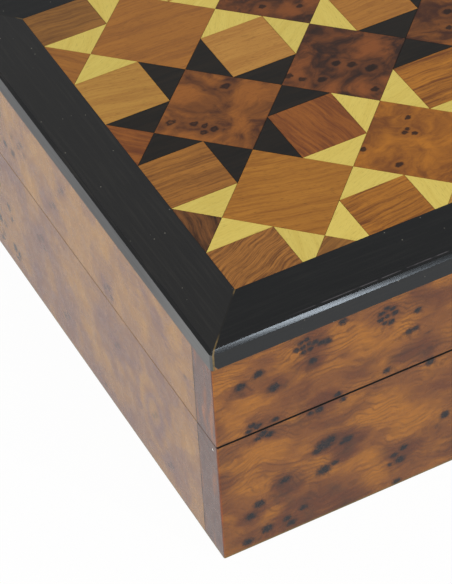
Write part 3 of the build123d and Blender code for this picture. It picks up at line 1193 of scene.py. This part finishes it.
@dataclass(frozen=True)
class FeltFinish:
    """Pressed wool felt."""

    name: str = "felt"
    ground: Tone = Tone(44, 78, 56)
    fluff: Tone = Tone(70, 106, 80)
    polish: Polish = Polish(roughness=0.95, specular=0.1, sheen=0.35, relief_mm=0.25,
                            relief_share=0.8)
    curl: Sway = Sway(1.2, 1.6)
    hairs: Cloud = Cloud(2.4, 5.0, 0.75)
    patches: Cloud = Cloud(0.12, 3.0)
    hair_share: float = 0.7
    fluff_step: Step = Step(0.36, 0.66)

    def build(self) -> bpy.types.Material:
        """Makes the material.

        Returns:
            The material.
        """
        made = Finish(self.name, self.polish)
        hairs = made.at.swayed(self.curl).cloud(self.hairs)
        patches = made.at.cloud(self.patches) * (1.0 - self.hair_share)
        share = (hairs * self.hair_share + patches).step(self.fluff_step)
        made.colour(share.mix(self.ground, self.fluff))
        made.relief(hairs)
        return made.material


@dataclass(frozen=True)
class BrassFinish:
    """Drawn brass, a little tarnished."""

    name: str = "brass"
    bright: Tone = Tone(206, 166, 92)
    tarnish: Tone = Tone(150, 112, 58)
    polish: Polish = Polish(roughness=0.28, metallic=1.0)
    satin: Step = Step(0.0, 1.0, 0.28, 0.44)
    drawn: Cloud = Cloud((0.15, 3.0, 3.0), 4.0, 0.6)
    stain: Cloud = Cloud(0.22, 4.0, 0.65, step=Step(0.45, 0.72))

    def build(self) -> bpy.types.Material:
        """Makes the material.

        Returns:
            The material.
        """
        made = Finish(self.name, self.polish)
        stain = made.at.cloud(self.stain)
        made.colour(stain.mix(self.bright, self.tarnish))
        made.roughness(stain.step(self.satin))
        made.relief(made.at.cloud(self.drawn))
        return made.material


@dataclass(frozen=True)
class SlipFinish:
    """Light slip glued into a mitre, darkened with glue between its ends."""

    name: str = "light_slip_wood"
    slip: Tone = Tone(112, 92, 54)
    glue: Tone = Tone(26, 25, 23)
    polish: Polish = Polish(roughness=0.45, specular=0.3, relief_mm=0.02)
    outer_end: Step = Step(80.5, 83.8)
    inner_end: Step = Step(70.4, 71.8, 0.85, 0.0)
    patches: Cloud = Cloud(0.9, 3.0, step=Step(0.3, 0.6, 0.55, 1.0))

    def build(self) -> bpy.types.Material:
        """Makes the material.

        Returns:
            The material.
        """
        made = Finish(self.name, self.polish)
        across = abs(made.at.x)
        patches = made.at.cloud(self.patches)
        share = across.step(self.outer_end).most(across.step(self.inner_end)) * patches
        made.colour(share.mix(self.glue, self.slip))
        made.relief(patches)
        return made.material


# ---------------------------------------------------------------- growing by rule


class Grower:
    """A Geometry Nodes tree with named inputs, grown into a plain mesh."""

    KINDS = {
        float: "NodeSocketFloat",
        int: "NodeSocketInt",
        bpy.types.Material: "NodeSocketMaterial",
    }

    def __init__(self, name: str) -> None:
        """Starts the tree with one geometry input and one geometry output.

        Args:
            name: Name of the tree.
        """
        self.tree = bpy.data.node_groups.new(name, "GeometryNodeTree")
        self.sketch = Sketch(self.tree)
        for way in ("INPUT", "OUTPUT"):
            self.tree.interface.new_socket("Geometry", in_out=way,
                                           socket_type="NodeSocketGeometry")
        self.values: dict[str, object] = {}
        self.entry = self.sketch.node("NodeGroupInput")

    def input(self, name: str, value: object) -> Value:
        """Adds a named input.

        Args:
            name: The input's name.
            value: The value that it gets.

        Returns:
            What gives the value inside the tree.
        """
        kind = next(word for type_, word in self.KINDS.items() if isinstance(value, type_))
        self.tree.interface.new_socket(name, in_out="INPUT", socket_type=kind)
        self.values[name] = value
        return self.entry[name]

    def finish(self, geometry: Value, material: Value) -> None:
        """Ends the tree in plain geometry with one material.

        Args:
            geometry: What the tree has built.
            material: Its finish.
        """
        plain = self.sketch.node("GeometryNodeRealizeInstances", {0: geometry})
        dressed = self.sketch.node("GeometryNodeSetMaterial", {
            "Geometry": plain[0], "Material": material})
        self.sketch.node("NodeGroupOutput", {0: dressed[0]})

    def grow(self, name: str, seeds: Sequence[Vector]) -> bpy.types.Mesh:
        """Grows the tree on points.

        Args:
            name: Name of the mesh.
            seeds: Points that the tree starts from.

        Returns:
            The mesh, with nothing left to grow.
        """
        start = bpy.data.meshes.new(f"{name}_seeds")
        start.from_pydata([tuple(seed) for seed in seeds], [], [])
        host = add_object(f"{name}_host", start)
        modifier = host.modifiers.new("grow", "NODES")
        modifier.node_group = self.tree
        for item in self.tree.interface.items_tree:
            if item.item_type == "SOCKET" and item.in_out == "INPUT" and item.name in self.values:
                modifier[item.identifier] = self.values[item.name]
        bpy.context.view_layer.update()
        grown = host.evaluated_get(bpy.context.evaluated_depsgraph_get())
        mesh = bpy.data.meshes.new_from_object(grown)
        mesh.name = name
        host.modifiers.remove(modifier)
        bpy.data.objects.remove(host)
        return mesh


# ---------------------------------------------------------------- pieces


# Points closer than this are one point, and an edge turned by more than this is sharp.
WELD_MM = 0.001
SHARP_DEGREES = 30.0


def soften(piece: bpy.types.Object, width_mm: float, segments: int = 2) -> None:
    """Breaks the sharp edges of a piece.

    Args:
        piece: A mesh of loose or joined faces.
        width_mm: Width of the broken edge.
        segments: Faces across it.
    """
    weld = piece.modifiers.new("weld", "WELD")
    weld.merge_threshold = WELD_MM * MM
    bevel = piece.modifiers.new("broken_edge", "BEVEL")
    bevel.width = width_mm * MM
    bevel.segments = segments
    bevel.limit_method = "ANGLE"
    bevel.angle_limit = math.radians(SHARP_DEGREES)


def dress(piece: bpy.types.Object, material: bpy.types.Material) -> None:
    """Gives a piece one material."""
    piece.data.materials.clear()
    piece.data.materials.append(material)


def place_piece(piece: bpy.types.Object, body: Body, slot: str, *nodes: str) -> None:
    """Fixes a piece to its body.

    Args:
        piece: The finished piece.
        body: The body it moves with.
        slot: Name of its finish; not used.
        nodes: CAD nodes that it stands for.
    """
    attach(piece, body.value)
    if nodes:
        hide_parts(*nodes)
    LOG.info("piece %s on %s", piece.name, body.value)


def add_object(name: str, data: bpy.types.ID) -> bpy.types.Object:
    """Adds an object for a mesh, a lamp or a camera, at the origin."""
    added = bpy.data.objects.new(name, data)
    bpy.context.scene.collection.objects.link(added)
    return added


def as_mesh(shell: bmesh.types.BMesh, name: str) -> bpy.types.Mesh:
    """Ends a shell in a mesh.

    Args:
        shell: The shell, which isn't used again.
        name: Name of the mesh.

    Returns:
        The mesh.
    """
    mesh = bpy.data.meshes.new(name)
    shell.to_mesh(mesh)
    shell.free()
    return mesh


@dataclass
class Boards:
    """The eight boards, the bottom, the divider and the ground of the marquetry."""

    edge_mm: float = 0.12
    sides: Sequence[str] = ("front", "back", "left", "right")

    def build(self, burl: bpy.types.Material, inner: bpy.types.Material) -> None:
        """Dresses the wooden carcass.

        Args:
            burl: Finish of the boards.
            inner: Finish of the bottom, the divider and the lid panel.
        """
        for body in Body:
            for side in self.sides:
                self._dress(f"{body.value}_{side}_board", burl, self.edge_mm)
        for name in ("base_bottom_panel", "base_divider", "lid_panel"):
            self._dress(name, inner, self.edge_mm)

    @staticmethod
    def _dress(name: str, material: bpy.types.Material, edge_mm: float) -> None:
        """Dresses one node and breaks its edges.

        Args:
            name: The node.
            material: Its finish.
            edge_mm: Width of the broken edges.
        """
        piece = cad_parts[name]
        dress(piece, material)
        soften(piece, edge_mm)
        LOG.info("dressed %s", name)


@dataclass
class Lippings:
    """The four ebony lippings and the slips in their mitres."""

    cross_sides: Sequence[str] = ("front", "back")
    long_sides: Sequence[str] = ("left", "right")

    def build(self, across: bpy.types.Material, along: bpy.types.Material,
              slip: bpy.types.Material) -> None:
        """Dresses the edging of the lid.

        Args:
            across: Ebony with its fibres along X.
            along: Ebony with its fibres along Y.
            slip: Finish of the slips.
        """
        for sides, finish in ((self.cross_sides, across), (self.long_sides, along)):
            for side in sides:
                dress(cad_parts[f"ebony_lipping_{side}"], finish)
                LOG.info("dressed ebony_lipping_%s", side)
        dress(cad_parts["mitre_fillers"], slip)


class Wood(Enum):
    """Woods of single tiles: light and dark tone, wave, contrast and pace of the figure."""

    WAVY_BROWN = (Tone(166, 110, 52), Tone(92, 56, 32), 0.3, 1.0, 2.5)
    ORANGE = (Tone(160, 106, 46), Tone(112, 70, 34), 0.1, 1.0, 1.0)
    RED_ORANGE = (Tone(176, 114, 42), Tone(108, 62, 30), 0.15, 1.0, 1.0)
    LIGHT_TAN = (Tone(180, 134, 62), Tone(156, 108, 50), 0.15, 0.8, 1.0)
    PALE_TAN = (Tone(182, 132, 64), Tone(154, 102, 48), 0.15, 0.8, 1.0)
    MID_BROWN = (Tone(150, 102, 48), Tone(104, 68, 36), 0.15, 0.9, 1.0)
    REDDISH = (Tone(148, 88, 38), Tone(98, 52, 30), 0.18, 0.9, 0.8)
    TAN_ORANGE = (Tone(176, 120, 54), Tone(144, 92, 42), 0.15, 0.8, 1.0)
    STRAIGHT_ORANGE = (Tone(172, 115, 44), Tone(138, 86, 34), 0.12, 1.0, 1.1)
    PLAIN_BROWN = (Tone(162, 106, 46), Tone(128, 80, 40), 0.15, 0.8, 1.0)
    DARK_BURL = (Tone(148, 90, 40), Tone(66, 38, 28), 0.8, 0.6, 1.0)
    DARKEST_BURL = (Tone(130, 75, 38), Tone(48, 32, 27), 0.8, 0.6, 1.0)
    ORANGE_BURL = (Tone(170, 107, 37), Tone(108, 62, 30), 0.6, 0.5, 1.0)
    STREAKED = (Tone(120, 76, 40), Tone(46, 30, 22), 0.3, 1.0, 0.6)
    LEMON = (Tone(210, 188, 96), Tone(194, 167, 76), 0.15, 0.5, 1.0)
    EBONY = (Tone(27, 26, 24), Tone(44, 37, 31), 0.1, 0.6, 1.0)

    @property
    def light(self) -> Tone:
        """The light tone."""
        return self.value[0]

    @property
    def dark(self) -> Tone:
        """The dark tone."""
        return self.value[1]

    @property
    def figure(self) -> Triple:
        """Wave in millimetres, contrast and pace of the bands, as one vector."""
        return self.value[2], self.value[3], self.value[4]


@dataclass
class Marquetry:
    """The inlaid field, dressed tile by tile on copies of the tiles' solids.

    The tiles lie on a lattice whose numbers count columns and rows from the
    first small square. A tile's place on it picks its wood and the turn of its
    fibres in degrees, and the tiles that aren't listed draw a common wood.
    """

    square_mm: float = 20.0
    columns: int = 4
    rows: int = 4
    first_x: float = -60.0
    first_y: float = -59.35
    thickness_mm: float = 1.6
    glue_mm: float = 0.12
    squares: dict = field(default_factory=lambda: {
        (0, 0): (Wood.WAVY_BROWN, 26), (0, 2): (Wood.ORANGE, -3), (0, 4): (Wood.LIGHT_TAN, -12),
        (0, 6): (Wood.MID_BROWN, -4), (2, 0): (Wood.RED_ORANGE, 5), (2, 2): (Wood.REDDISH, -79),
        (2, 4): (Wood.PALE_TAN, -4), (4, 4): (Wood.TAN_ORANGE, 0), (4, 2): (Wood.RED_ORANGE, 0),
    })
    large: dict = field(default_factory=lambda: {
        (1, 1): (Wood.STRAIGHT_ORANGE, -15), (1, 5): (Wood.PLAIN_BROWN, -2),
        (1, 3): (Wood.DARK_BURL, 0), (3, 3): (Wood.DARKEST_BURL, 0), (3, 5): (Wood.DARKEST_BURL, 0),
        (3, 1): (Wood.ORANGE_BURL, 0), (-1, 1): (Wood.STREAKED, 79), (-1, 3): (Wood.REDDISH, -50),
        (-1, 5): (Wood.PLAIN_BROWN, -50), (1, -1): (Wood.MID_BROWN, 25),
    })
    common: Sequence[Wood] = (Wood.ORANGE, Wood.LIGHT_TAN, Wood.MID_BROWN, Wood.TAN_ORANGE)
    seed: int = 7
    seed_weights: Triple = (12.9898, 78.233, 37.719)
    seed_spread: float = 43758.5453
    grain_shift: float = 400.0
    palest: float = 0.98
    warmest: float = 0.12
    weld_mm: float = 0.0005

    def build(self, woods: dict[str, bpy.types.Material]) -> None:
        """Makes the six groups of tiles.

        Args:
            woods: Finish of each group, by the group's name.
        """
        for group, material in woods.items():
            self._group(group, material)

    def _group(self, group: str, material: bpy.types.Material) -> None:
        """Makes one group of tiles: the small squares by rule, the others from their solids.

        Args:
            group: The group's name.
            material: Its finish.
        """
        node = f"marquetry_{group}"
        shell = bmesh.new()
        if group == "small_squares":
            shell.from_mesh(self._small_squares(material))
        else:
            shell.from_mesh(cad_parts[node].data)
            bmesh.ops.remove_doubles(shell, verts=shell.verts, dist=self.weld_mm * MM)
        bmesh.ops.recalc_face_normals(shell, faces=shell.faces)
        self._map(shell, group)
        mesh = as_mesh(shell, f"{group}_inlay")
        mesh.materials.clear()
        mesh.materials.append(material)
        place_piece(add_object(f"{group}_inlay", mesh), Body.LID, self._slot(group), node)

    def _small_squares(self, material: bpy.types.Material) -> bpy.types.Mesh:
        """Grows squares on every second point of the lattice, trimmed to the field in Y.

        Args:
            material: Their finish.

        Returns:
            The mesh.
        """
        low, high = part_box("marquetry_small_squares")
        rule = Grower("small_squares_rule")
        draw = rule.sketch
        side = rule.input("Side", (self.square_mm - self.glue_mm) * MM)
        thickness = rule.input("Thickness", self.thickness_mm * MM)
        near = rule.input("Near Trim", low.y)
        far = rule.input("Far Trim", high.y)
        wood = rule.input("Material", material)
        block = draw.node("GeometryNodeMeshCube", {"Size": draw.join(side, side, thickness)})
        laid = draw.node("GeometryNodeInstanceOnPoints", {
            "Points": rule.entry["Geometry"], "Instance": block["Mesh"]})
        solid = draw.node("GeometryNodeRealizeInstances", {0: laid[0]})
        at = draw.node("GeometryNodeInputPosition")[0]
        kept = at.y.most(near).least(far)
        trimmed = draw.node("GeometryNodeSetPosition", {
            "Geometry": solid[0], "Position": draw.join(at.x, kept, at.z)})
        rule.finish(trimmed[0], wood)
        middle = (low.z + high.z) / 2
        step = 2 * self.square_mm
        xs = [(self.first_x + column * step) * MM for column in range(self.columns)]
        ys = [(self.first_y + row * step) * MM for row in range(self.rows)]
        seeds = [Vector((x, y, middle)) for x in xs for y in ys]
        return rule.grow("small_squares_inlay", seeds)

    @staticmethod
    def _slot(group: str) -> str:
        """Finds the record's finish of a group.

        Args:
            group: The group's name.

        Returns:
            The finish.
        """
        return {
            "lemonwood_triangles": "lemonwood",
            "ebony_triangles": "ebony",
            "burl_tiles": "burl_wood",
        }.get(group, "straight_grain_wood")

    def _map(self, shell: bmesh.types.BMesh, group: str) -> None:
        """Writes the grain map and the tones of every tile.

        Args:
            shell: The tiles.
            group: The group's name.
        """
        grain = shell.loops.layers.uv.new("grain")
        light = shell.loops.layers.float_color.new("light")
        dark = shell.loops.layers.float_color.new("dark")
        figure = shell.loops.layers.float_vector.new("figure")
        for faces in self._tiles(shell):
            centre = self._centre(faces)
            wood, turn = self._choose(group, centre)
            spin = Matrix.Rotation(-math.radians(turn), 2)
            shift = Vector((self._random(centre, 1), self._random(centre, 2))) * self.grain_shift
            warmth = self.palest + self.warmest * self._random(centre, 3)
            for face in faces:
                for loop in face.loops:
                    flat = (loop.vert.co.xy * PER_METRE) - centre
                    loop[grain].uv = spin @ flat + shift
                    loop[light] = self._scaled(wood.light, warmth)
                    loop[dark] = self._scaled(wood.dark, warmth)
                    loop[figure] = wood.figure

    @staticmethod
    def _scaled(tone: Tone, share: float) -> tuple[float, float, float, float]:
        """A tone made a little lighter or darker."""
        red, green, blue, alpha = tone.rgba()
        return red * share, green * share, blue * share, alpha

    @staticmethod
    def _tiles(shell: bmesh.types.BMesh) -> Iterable[list[bmesh.types.BMFace]]:
        """Finds the tiles by their joined faces.

        Args:
            shell: All the tiles.

        Returns:
            The faces of each tile in turn.
        """
        left = set(shell.faces)
        while left:
            start = left.pop()
            tile, edge = [start], [start]
            while edge:
                face = edge.pop()
                for side in face.edges:
                    for other in side.link_faces:
                        if other in left:
                            left.remove(other)
                            tile.append(other)
                            edge.append(other)
            yield tile

    @staticmethod
    def _centre(faces: Sequence[bmesh.types.BMFace]) -> Vector:
        """Finds the middle of a tile in plan.

        Args:
            faces: The tile's faces.

        Returns:
            The middle, in millimetres.
        """
        points = {vert for face in faces for vert in face.verts}
        total = sum((vert.co.xy for vert in points), Vector((0.0, 0.0)))
        return total / len(points) * PER_METRE

    def _lattice(self, centre: Vector, odd: int) -> tuple[int, int]:
        """Finds the nearest lattice point whose two numbers are both odd or both even.

        Args:
            centre: Middle of a tile.
            odd: 1 for odd numbers and 0 for even ones.

        Returns:
            Its column and row.
        """
        column = (centre.x - self.first_x) / self.square_mm
        row = (centre.y - self.first_y) / self.square_mm
        return 2 * round((column - odd) / 2) + odd, 2 * round((row - odd) / 2) + odd

    def _choose(self, group: str, centre: Vector) -> tuple[Wood, float]:
        """Chooses the wood of a tile and the way its fibres run.

        Args:
            group: The group's name.
            centre: Middle of the tile.

        Returns:
            The wood, and the turn of its fibres in degrees from X.
        """
        if group == "lemonwood_triangles":
            return Wood.LEMON, 90.0 * self._random(centre, 5)
        if group == "ebony_triangles":
            return Wood.EBONY, 0.0
        if group == "small_squares":
            chosen = self.squares.get(self._lattice(centre, 0))
        else:
            chosen = self.large.get(self._lattice(centre, 1))
        if chosen:
            return chosen
        if group == "burl_tiles":
            return Wood.DARK_BURL, 45.0
        pick = int(self._random(centre, 4) * len(self.common)) % len(self.common)
        return self.common[pick], 0.0

    def _random(self, centre: Vector, part: int) -> float:
        """Draws a number for a tile that is the same every time.

        Args:
            centre: Middle of the tile.
            part: Which of the tile's numbers it is.

        Returns:
            The number, from 0 to 1.
        """
        x_weight, y_weight, part_weight = self.seed_weights
        mixed = math.sin(round(centre.x) * x_weight + round(centre.y) * y_weight
                         + (part + self.seed) * part_weight) * self.seed_spread
        return mixed - math.floor(mixed)


@dataclass
class Linings:
    """The felt on the floor of both compartments, with its nap in radians to the metre."""

    nap_mm: float = 0.12
    across: int = 48
    along: int = 96
    wave_x: float = 900.0
    wave_y: float = 760.0
    wave_shift: float = 1.3

    def build(self, felt: bpy.types.Material) -> None:
        """Lays both felts.

        Args:
            felt: Finish of the felt.
        """
        low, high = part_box("base_felt_linings")
        edge = self._inner_edge()
        for name, left, right in (("felt_left", low.x, -edge), ("felt_right", edge, high.x)):
            mesh = self._cloth(name, Vector((left, low.y, low.z)), Vector((right, high.y, high.z)))
            mesh.materials.append(felt)
            piece = add_object(name, mesh)
            place_piece(piece, Body.BASE, "felt", "base_felt_linings")
            high.y - low.y

    @staticmethod
    def _inner_edge() -> float:
        """How far the felts' inner edges lie from the middle of the box."""
        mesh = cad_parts["base_felt_linings"].data
        return min(vert.co.x for vert in mesh.vertices if vert.co.x > 0)

    def _cloth(self, name: str, low: Vector, high: Vector) -> bpy.types.Mesh:
        """Makes a closed sheet with a napped top.

        Args:
            name: Name of the mesh.
            low: Lowest corner.
            high: Highest corner.

        Returns:
            The mesh.
        """
        shell = bmesh.new()
        bmesh.ops.create_grid(shell, x_segments=self.across, y_segments=self.along, size=0.5)
        for vert in shell.verts:
            vert.co.x = low.x + (vert.co.x + 0.5) * (high.x - low.x)
            vert.co.y = low.y + (vert.co.y + 0.5) * (high.y - low.y)
            wave = math.sin(vert.co.x * self.wave_x)
            wave *= math.sin(vert.co.y * self.wave_y + self.wave_shift)
            vert.co.z = high.z - self.nap_mm * MM * (0.5 + 0.5 * wave)
        raised = bmesh.ops.extrude_face_region(shell, geom=list(shell.faces))
        for item in raised["geom"]:
            if isinstance(item, bmesh.types.BMVert):
                item.co.z = low.z
        bmesh.ops.recalc_face_normals(shell, faces=shell.faces)
        return as_mesh(shell, name)


@dataclass
class Hinges:
    """Two brass butt hinges with slotted countersunk screws, in millimetres."""

    head_radius: float = 1.7
    shank_radius: float = 0.85
    screw_point: float = 1.8
    slot_width: float = 0.42
    slot_depth: float = 0.45
    slot_reach: float = 3.0
    sides: int = 32
    seed: int = 11
    least_gap: float = 4.0
    leaf_node: str = "hinge_{side}_{part}"

    def build(self, brass: bpy.types.Material) -> None:
        """Dresses the hinges and makes the screws.

        Args:
            brass: Finish of every part.
        """
        for side in ("left", "right"):
            for part in ("base_leaf", "lid_leaf", "pin"):
                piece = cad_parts[self.leaf_node.format(side=side, part=part)]
                dress(piece, brass)
                LOG.info("dressed %s", piece.name)
        for body in Body:
            self._screws(body, brass)

    def _screws(self, body: Body, brass: bpy.types.Material) -> None:
        """Makes the screws of one body.

        Args:
            body: The body that they hold.
            brass: Their finish.
        """
        node = f"hinge_{body.value}_screws"
        low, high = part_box(node)
        rule = self._rule(body, brass, high.z - low.z)
        face = high.z if body is Body.BASE else low.z
        seeds = [Vector((x, (low.y + high.y) / 2, face)) for x in self._columns(node)]
        mesh = rule.grow(f"{body.value}_screws_slotted", seeds)
        place_piece(add_object(mesh.name, mesh), body, "brass", node)

    def _columns(self, node: str) -> list[float]:
        """Finds where the screws stand along the hinges.

        Args:
            node: The CAD node of the screws.

        Returns:
            The middle of each screw in X, in metres.
        """
        places = sorted(vert.co.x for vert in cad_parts[node].data.vertices)
        columns = [[places[0]]]
        for place in places[1:]:
            if place - columns[-1][-1] > self.least_gap * MM:
                columns.append([])
            columns[-1].append(place)
        return [(column[0] + column[-1]) / 2 for column in columns]

    def _rule(self, body: Body, brass: bpy.types.Material, length: float) -> Grower:
        """Makes a tree that sets one slotted screw on every point.

        Args:
            body: The body that the screws hold.
            brass: Their finish.
            length: Length of a screw, in metres.

        Returns:
            The tree.
        """
        rule = Grower(f"{body.value}_screw_rule")
        draw = rule.sketch
        head = rule.input("Head Radius", self.head_radius * MM)
        shank = rule.input("Shank Radius", self.shank_radius * MM)
        total = rule.input("Length", length)
        point = rule.input("Point", self.screw_point * MM)
        width = rule.input("Slot Width", self.slot_width * MM)
        depth = rule.input("Slot Depth", self.slot_depth * MM)
        seed = rule.input("Seed", self.seed)
        wood = rule.input("Material", brass)
        sink = head - shank
        stem = total - sink - point
        lengths = ((head, shank, sink, sink), (shank, shank, stem, sink + stem),
                   (shank, 0.0, point, total))
        top, middle, tip = (self._cone(draw, *length) for length in lengths)
        cutter = draw.node("GeometryNodeMeshCube", {
            "Size": draw.join(head * self.slot_reach, width, depth * 2.0)})
        slotted = draw.node("GeometryNodeMeshBoolean", {
            "Mesh 1": top, "Mesh 2": cutter["Mesh"]}, operation="DIFFERENCE")
        whole = draw.node("GeometryNodeJoinGeometry")
        for part in (slotted[0], middle, tip):
            whole.feed(0, part)
        spin = draw.node("FunctionNodeRandomValue", {2: 0.0, 3: math.pi, "Seed": seed},
                         data_type="FLOAT")
        flip = 0.0 if body is Body.BASE else math.pi
        driven = draw.node("GeometryNodeInstanceOnPoints", {
            "Points": rule.entry["Geometry"], "Instance": whole[0],
            "Rotation": draw.join(flip, 0.0, spin[1])})
        rule.finish(driven[0], wood)
        return rule

    def _cone(self, draw: Sketch, top: Term, bottom: Term, length: Value, depth: Value) -> Value:
        """Makes one length of a screw.

        Args:
            draw: The tree.
            top: Radius at its top.
            bottom: Radius at its bottom.
            length: Its length.
            depth: How far its bottom lies below the face.

        Returns:
            Its shape.
        """
        cone = draw.node("GeometryNodeMeshCone", {
            "Vertices": self.sides, "Side Segments": 1, "Radius Top": top,
            "Radius Bottom": bottom, "Depth": length})
        return draw.node("GeometryNodeTransform", {
            "Geometry": cone[0], "Translation": draw.join(0.0, 0.0, -depth)})[0]


# ---------------------------------------------------------------- studio


@dataclass
class Lamp:
    """One soft rectangular lamp."""

    name: str
    place: Triple
    size: tuple[float, float]
    power: float
    colour: Triple = (1.0, 1.0, 1.0)
    target: Triple = (-0.05, -0.06, 0.06)

    def build(self) -> None:
        """Hangs the lamp and turns it to its target."""
        light = bpy.data.lights.new(self.name, "AREA")
        light.shape = "RECTANGLE"
        light.size, light.size_y = self.size
        light.energy = self.power
        light.color = self.colour
        lamp = add_object(self.name, light)
        lamp.location = self.place
        way = Vector(self.target) - Vector(self.place)
        lamp.rotation_euler = way.to_track_quat("-Z", "Y").to_euler()


@dataclass
class Studio:
    """Floor, surroundings, lamps and camera."""

    floor_reach: float = 3.0
    floor_tone: Tone = Tone(236, 236, 234)
    floor_glow: float = 0.96
    fill: float = 0.5
    horizon: Step = Step(0.35, 0.62, 1.0, 0.28)
    camera_place: Triple = (-0.28945, -0.52233, 0.56593)
    camera_target: Triple = (-0.07239, -0.06504, 0.0793)
    camera_roll: float = -3.594
    lens: float = 168.26
    sensor: float = 36.0
    lamps: Sequence[Lamp] = (
        Lamp("strip_softbox", (0.316, -0.852, 0.773), (0.045, 0.45), 2.3, (0.9, 0.95, 1.0)),
        Lamp("broad_softbox", (-0.25, -1.1, 1.0), (0.9, 0.6), 8.6),
        Lamp("left_softbox", (-1.3, -0.25, 0.35), (0.7, 0.5), 9.0),
    )

    def build(self) -> None:
        """Sets up the whole studio."""
        self._floor()
        self._surroundings()
        for lamp in self.lamps:
            lamp.build()
        self._camera()
        bpy.context.scene.view_settings.view_transform = "Standard"

    @staticmethod
    def _seen(draw: Sketch) -> Value:
        """1 for rays from the camera, from gloss and through glass."""
        path = draw.node("ShaderNodeLightPath")
        return path["Is Camera Ray"].most(path["Is Glossy Ray"]).most(path["Is Transmission Ray"])

    def _floor(self) -> None:
        """Pale floor that shows white and keeps a soft shadow."""
        mesh = bpy.data.meshes.new("floor")
        reach = self.floor_reach
        mesh.from_pydata([(-reach, -reach, 0), (reach, -reach, 0), (reach, reach, 0),
                          (-reach, reach, 0)], [], [(0, 1, 2, 3)])
        floor = add_object("floor", mesh)
        material = bpy.data.materials.new("floor")
        draw = fresh_sketch(material)
        matt = draw.node("ShaderNodeBsdfDiffuse", {"Color": self.floor_tone})
        glow = draw.node("ShaderNodeEmission", {"Color": WHITE, "Strength": 1.0})
        share = self._seen(draw) * self.floor_glow
        mixed = draw.node("ShaderNodeMixShader", {0: share, 1: matt[0], 2: glow[0]})
        draw.node("ShaderNodeOutputMaterial", {0: mixed[0]})
        mesh.materials.append(material)

    def _surroundings(self) -> None:
        """White surroundings, weaker for the light they give."""
        world = bpy.data.worlds.new("studio")
        bpy.context.scene.world = world
        draw = fresh_sketch(world)
        shown = draw.node("ShaderNodeTexCoord")["Generated"].z.step(self.horizon)
        strength = draw.node("ShaderNodeMix", {0: self._seen(draw), 2: self.fill, 3: shown})[0]
        back = draw.node("ShaderNodeBackground", {"Color": WHITE, "Strength": strength})
        draw.node("ShaderNodeOutputWorld", {0: back[0]})

    def _camera(self) -> None:
        """Camera that looks down at the front left corner."""
        data = bpy.data.cameras.new("camera")
        data.lens = self.lens
        data.sensor_width = self.sensor
        data.dof.use_dof = False
        camera = add_object("camera", data)
        place = Vector(self.camera_place)
        ahead = (Vector(self.camera_target) - place).normalized()
        side = ahead.cross(Vector((0, 0, 1))).normalized()
        above = side.cross(ahead)
        roll = math.radians(self.camera_roll)
        right = side * math.cos(roll) + above * math.sin(roll)
        up = above * math.cos(roll) - side * math.sin(roll)
        turn = Matrix((right, up, -ahead)).transposed()
        camera.matrix_world = Matrix.Translation(place) @ turn.to_4x4()
        bpy.context.scene.camera = camera


# ---------------------------------------------------------------- whole box


def main() -> None:
    """Builds the box, piece by piece, and its studio."""
    logging.basicConfig(level=logging.INFO, format="%(name)s: %(message)s")
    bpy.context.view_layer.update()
    burl = BurlFinish().build()
    inner = PlainWoodFinish("inner_wood", Tone(196, 152, 98), Tone(156, 108, 62)).build()
    brass = BrassFinish().build()
    Boards().build(burl, inner)
    Lippings().build(EbonyFinish("ebony_along_x", Run.ALONG_X).build(),
                     EbonyFinish("ebony_along_y", Run.ALONG_Y).build(),
                     SlipFinish().build())
    sliced = TileWoodFinish("straight_grain_wood").build()
    Marquetry().build({
        "small_squares": sliced,
        "plain_tiles": sliced,
        "edge_tiles": sliced,
        "burl_tiles": TileWoodFinish("burl_tile_wood", burl=BurlFigure()).build(),
        "lemonwood_triangles": TileWoodFinish("lemonwood").build(),
        "ebony_triangles": TileWoodFinish("ebony_inlay", Polish(0.34, specular=0.2)).build(),
    })
    Linings().build(FeltFinish().build())
    Hinges().build(brass)
    Studio().build()


if __name__ == "__main__":
    main()
